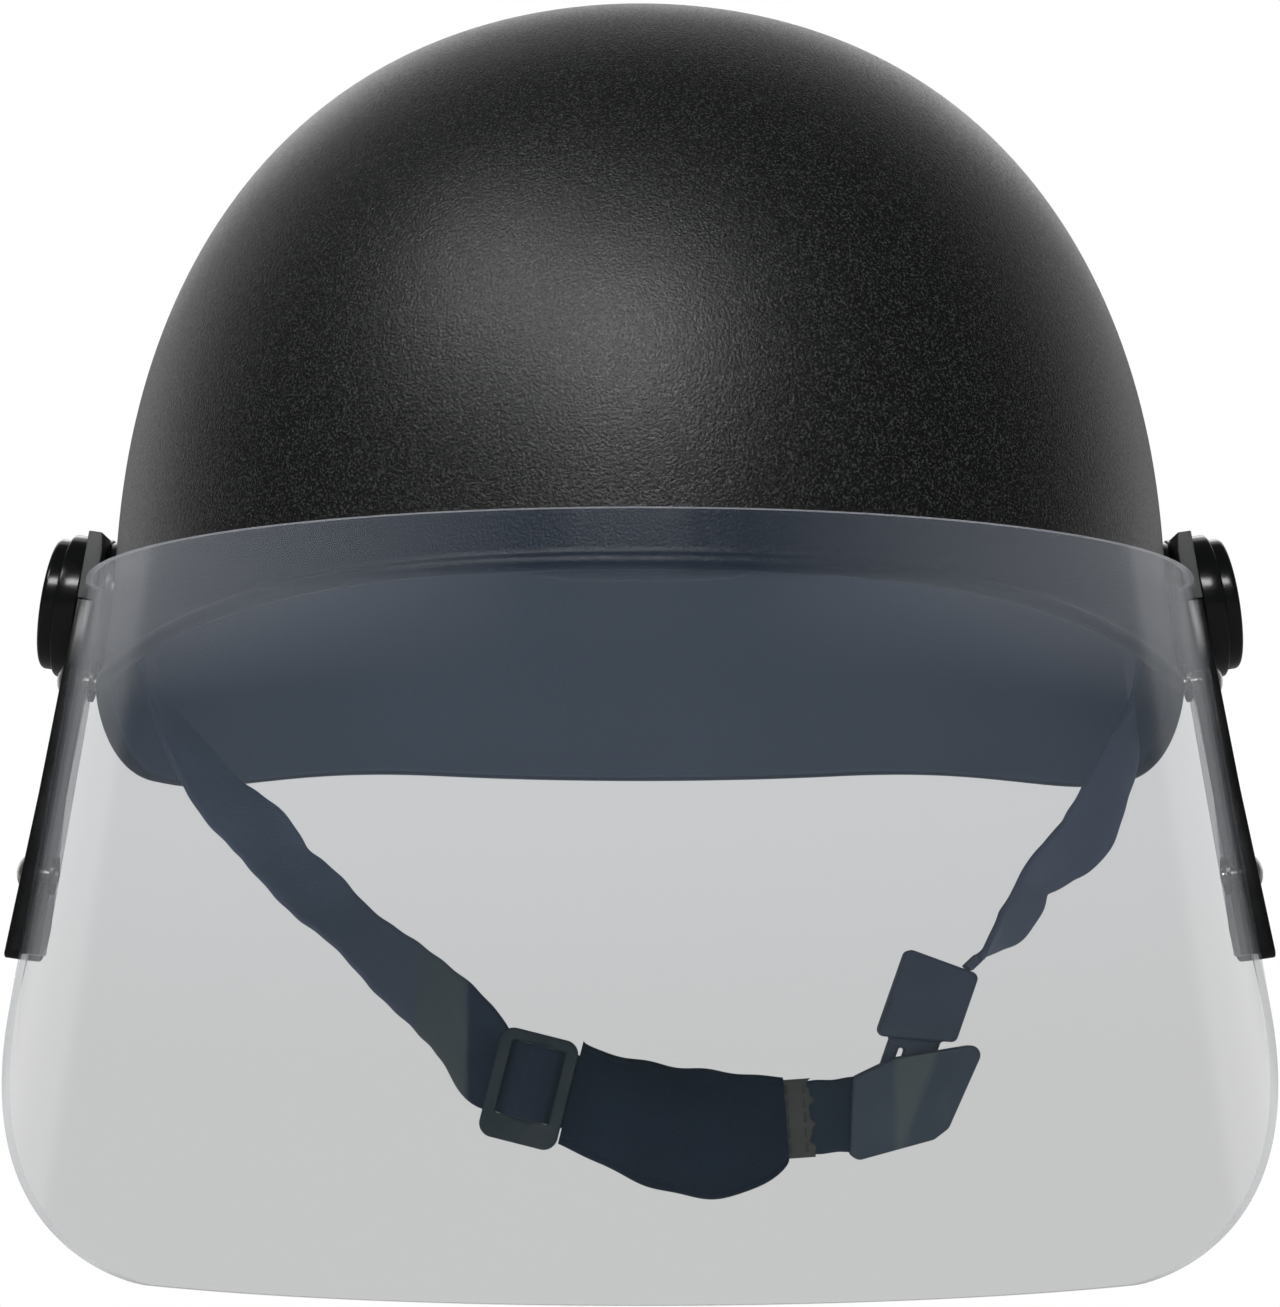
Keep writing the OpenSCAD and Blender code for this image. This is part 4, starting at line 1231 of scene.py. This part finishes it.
def softened(node, body, material, width):
    """A copy of the piece's solid with rounded edges, width in millimetres."""
    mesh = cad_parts[node].data.copy()
    mesh.name = node + "_finish"
    obj = add_object(node + "_finish", mesh)
    bm = bmesh.new()
    bm.from_mesh(mesh)
    bmesh.ops.remove_doubles(bm, verts=bm.verts, dist=WELD)
    bmesh.ops.dissolve_degenerate(bm, dist=WELD, edges=bm.edges)
    bmesh.ops.dissolve_limit(bm, angle_limit=math.radians(FLAT_ANGLE), verts=bm.verts, edges=bm.edges)
    bm.to_mesh(mesh)
    bm.free()
    modifier = obj.modifiers.new("round", "BEVEL")
    modifier.width = width * MM
    modifier.segments = ROUND_STEPS
    modifier.limit_method = "ANGLE"
    modifier.angle_limit = math.radians(ROUND_ANGLE)
    modifier.use_clamp_overlap = False
    apply_modifiers(obj)
    dress(obj, material)
    smooth_by_angle(obj, SHARP_HARD)
    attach(obj, body)
    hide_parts(node)


def build_hard_parts():
    for side in ("left", "right"):
        softened("hinge_base_" + side, "helmet", "gloss", 0.3)
        softened("arm_" + side, "visor", "gloss", 0.35)
        softened("arm_lug_" + side, "visor", "lug", 0.3)
        softened("hinge_disc_" + side, "visor", "gloss", 0.5)
        softened("hinge_cap_" + side, "visor", "gloss", 0.25)
    softened("slider", "chin_strap", "slider", 0.45)
    softened("buckle_socket", "chin_strap", "socket", 0.6)
    softened("buckle_plug", "buckle_plug", "buckle", 0.5)


def paint_cad(node, material):
    """Gives a piece that stays as the model has it its material."""
    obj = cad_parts[node]
    for slot in obj.material_slots:
        slot.material = MAT[material]


def paint_kept_nodes():
    for side in ("left", "right"):
        paint_cad("pivot_bolt_" + side, "nickel")
        paint_cad("pivot_nut_" + side, "nickel")
        paint_cad("strap_eyelet_" + side, "nickel")
    paint_cad("visor_rivets", "nickel")
    paint_cad("rivet_washers", "washer")
    paint_cad("strap_loop", "web")


# Camera, lights and floor, in metres, degrees and watts
CAMERA_AT = (0.0, -0.600, -0.0750)
CAMERA_PITCH = 97.43
LENS = 77.04
SENSOR = 36
FLOOR_Z = -0.30
FLOOR_HALF = 6.0
FLOOR_COLOR = (0.86, 0.86, 0.86, 1)
WORLD_COLOR = (0.96, 0.98, 1.0, 1)
WORLD_LIGHT = 0.5
# What glossy rays see of the floor, in front of the object, behind it to the sides and straight behind it,
# and the directions along Y between which that changes
FLOOR_SHADE = 0.25
FRONT_SHADE = 0.07
BACK_SHADE = 0.80
DEEP_SHADE = 0.05
BACK_SPAN = (0.54, 0.60)
DEEP_SPAN = (0.84, 0.93)


def build_camera():
    data = bpy.data.cameras.new("camera")
    data.lens = LENS
    data.sensor_width = SENSOR
    camera = add_object("camera", data)
    camera.location = CAMERA_AT
    camera.rotation_euler = (math.radians(CAMERA_PITCH), 0, 0)
    bpy.context.scene.camera = camera


def area_light(name, place, target, size, power, glossy=True):
    """A rectangular lamp; without glossy it doesn't show as a reflection."""
    data = bpy.data.lights.new(name, "AREA")
    data.shape = "RECTANGLE"
    data.size, data.size_y = size
    data.energy = power
    light = add_object(name, data)
    light.location = place
    aim = Vector(target) - Vector(place)
    light.rotation_euler = aim.to_track_quat("-Z", "Y").to_euler()
    light.visible_camera = False
    light.visible_glossy = glossy


def show_white(n, shader, output, kind, glossy_share):
    """Camera and transmitted rays see plain white, glossy rays a share of it, others the shader."""
    path = n.add("ShaderNodeLightPath").outputs
    direct = n.math("MAXIMUM", path["Is Camera Ray"], path["Is Transmission Ray"])
    glossy = path["Is Glossy Ray"]
    strength = n.math("MAXIMUM", direct, n.math("MULTIPLY", glossy, glossy_share))
    white = n.put(n.add(kind), {"Color": (1, 1, 1, 1), "Strength": strength})
    seen = n.math("MAXIMUM", direct, glossy)
    mix = n.put(n.add("ShaderNodeMixShader"), {"Fac": seen, 1: shader, 2: white.outputs[0]})
    n.link(mix.outputs[0], output)


def build_floor():
    corners = ((-1, -1), (1, -1), (1, 1), (-1, 1))
    verts = [Vector((x * FLOOR_HALF, y * FLOOR_HALF, FLOOR_Z)) / MM for x, y in corners]
    floor = new_object("floor", verts, [[0, 1, 2, 3]], False)
    n = Nodes("floor_pale")
    n.finish(Base_Color=FLOOR_COLOR, Roughness=0.8)
    surface = n.tree.nodes["Material Output"].inputs["Surface"]
    show_white(n, n.shader.outputs[0], surface, "ShaderNodeEmission", FLOOR_SHADE)
    floor.data.materials.append(n.material)


def build_world():
    """A studio that reflects dimly in front, brightly at the rear sides and dimly straight behind."""
    world = bpy.data.worlds.new("studio")
    bpy.context.scene.world = world
    world.use_nodes = True
    n = Tree(world.node_tree, "Generated")
    background = n.put(n.tree.nodes["Background"], {"Color": WORLD_COLOR, "Strength": WORLD_LIGHT})
    y = n.axis("Y")
    rise = n.range(y, BACK_SPAN, (FRONT_SHADE, BACK_SHADE), interpolation_type="SMOOTHSTEP")
    fall = n.range(y, DEEP_SPAN, (BACK_SHADE, DEEP_SHADE), interpolation_type="SMOOTHSTEP")
    surface = n.tree.nodes["World Output"].inputs["Surface"]
    show_white(n, background.outputs[0], surface, "ShaderNodeBackground", n.math("MINIMUM", rise, fall))


def build_lights():
    """Each lamp's place, the point it faces, its size and its power."""
    area_light("key_front", (-0.05, -1.20, 0.77), (0, -0.08, 0.05), (0.55, 0.22), 9.4)
    area_light("key_left", (-0.70, -0.80, 0.96), (0, -0.05, 0.05), (0.5, 0.34), 5.5)
    area_light("fill_front", (0, -1.4, 0.1), (0, 0, 0), (1.2, 0.9), 9, glossy=False)
    area_light("side_left", (-1.1, -0.3, 0.15), (0, 0, 0), (0.6, 1.1), 4, glossy=False)
    area_light("side_right", (1.1, -0.3, 0.15), (0, 0, 0), (0.6, 1.1), 4, glossy=False)
    area_light("rim_back", (0, 1.2, 0.7), (0, 0, 0.05), (1.2, 0.5), 3)


build_camera()
build_world()
build_lights()
build_floor()
build_shell()
build_wall_pad("brow_pad", 0)
build_wall_pad("side_pad_right", 90)
build_wall_pad("nape_pad", 180)
build_wall_pad("side_pad_left", -90)
build_crown_pad()
build_visor()
webbing_right = build_straps()
build_fold()
build_stitches()
build_cup()
build_hard_parts()
paint_kept_nodes()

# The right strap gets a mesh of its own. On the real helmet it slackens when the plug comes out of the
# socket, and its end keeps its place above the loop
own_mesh(webbing_right)

scene = bpy.context.scene
scene.view_settings.view_transform = "Standard"
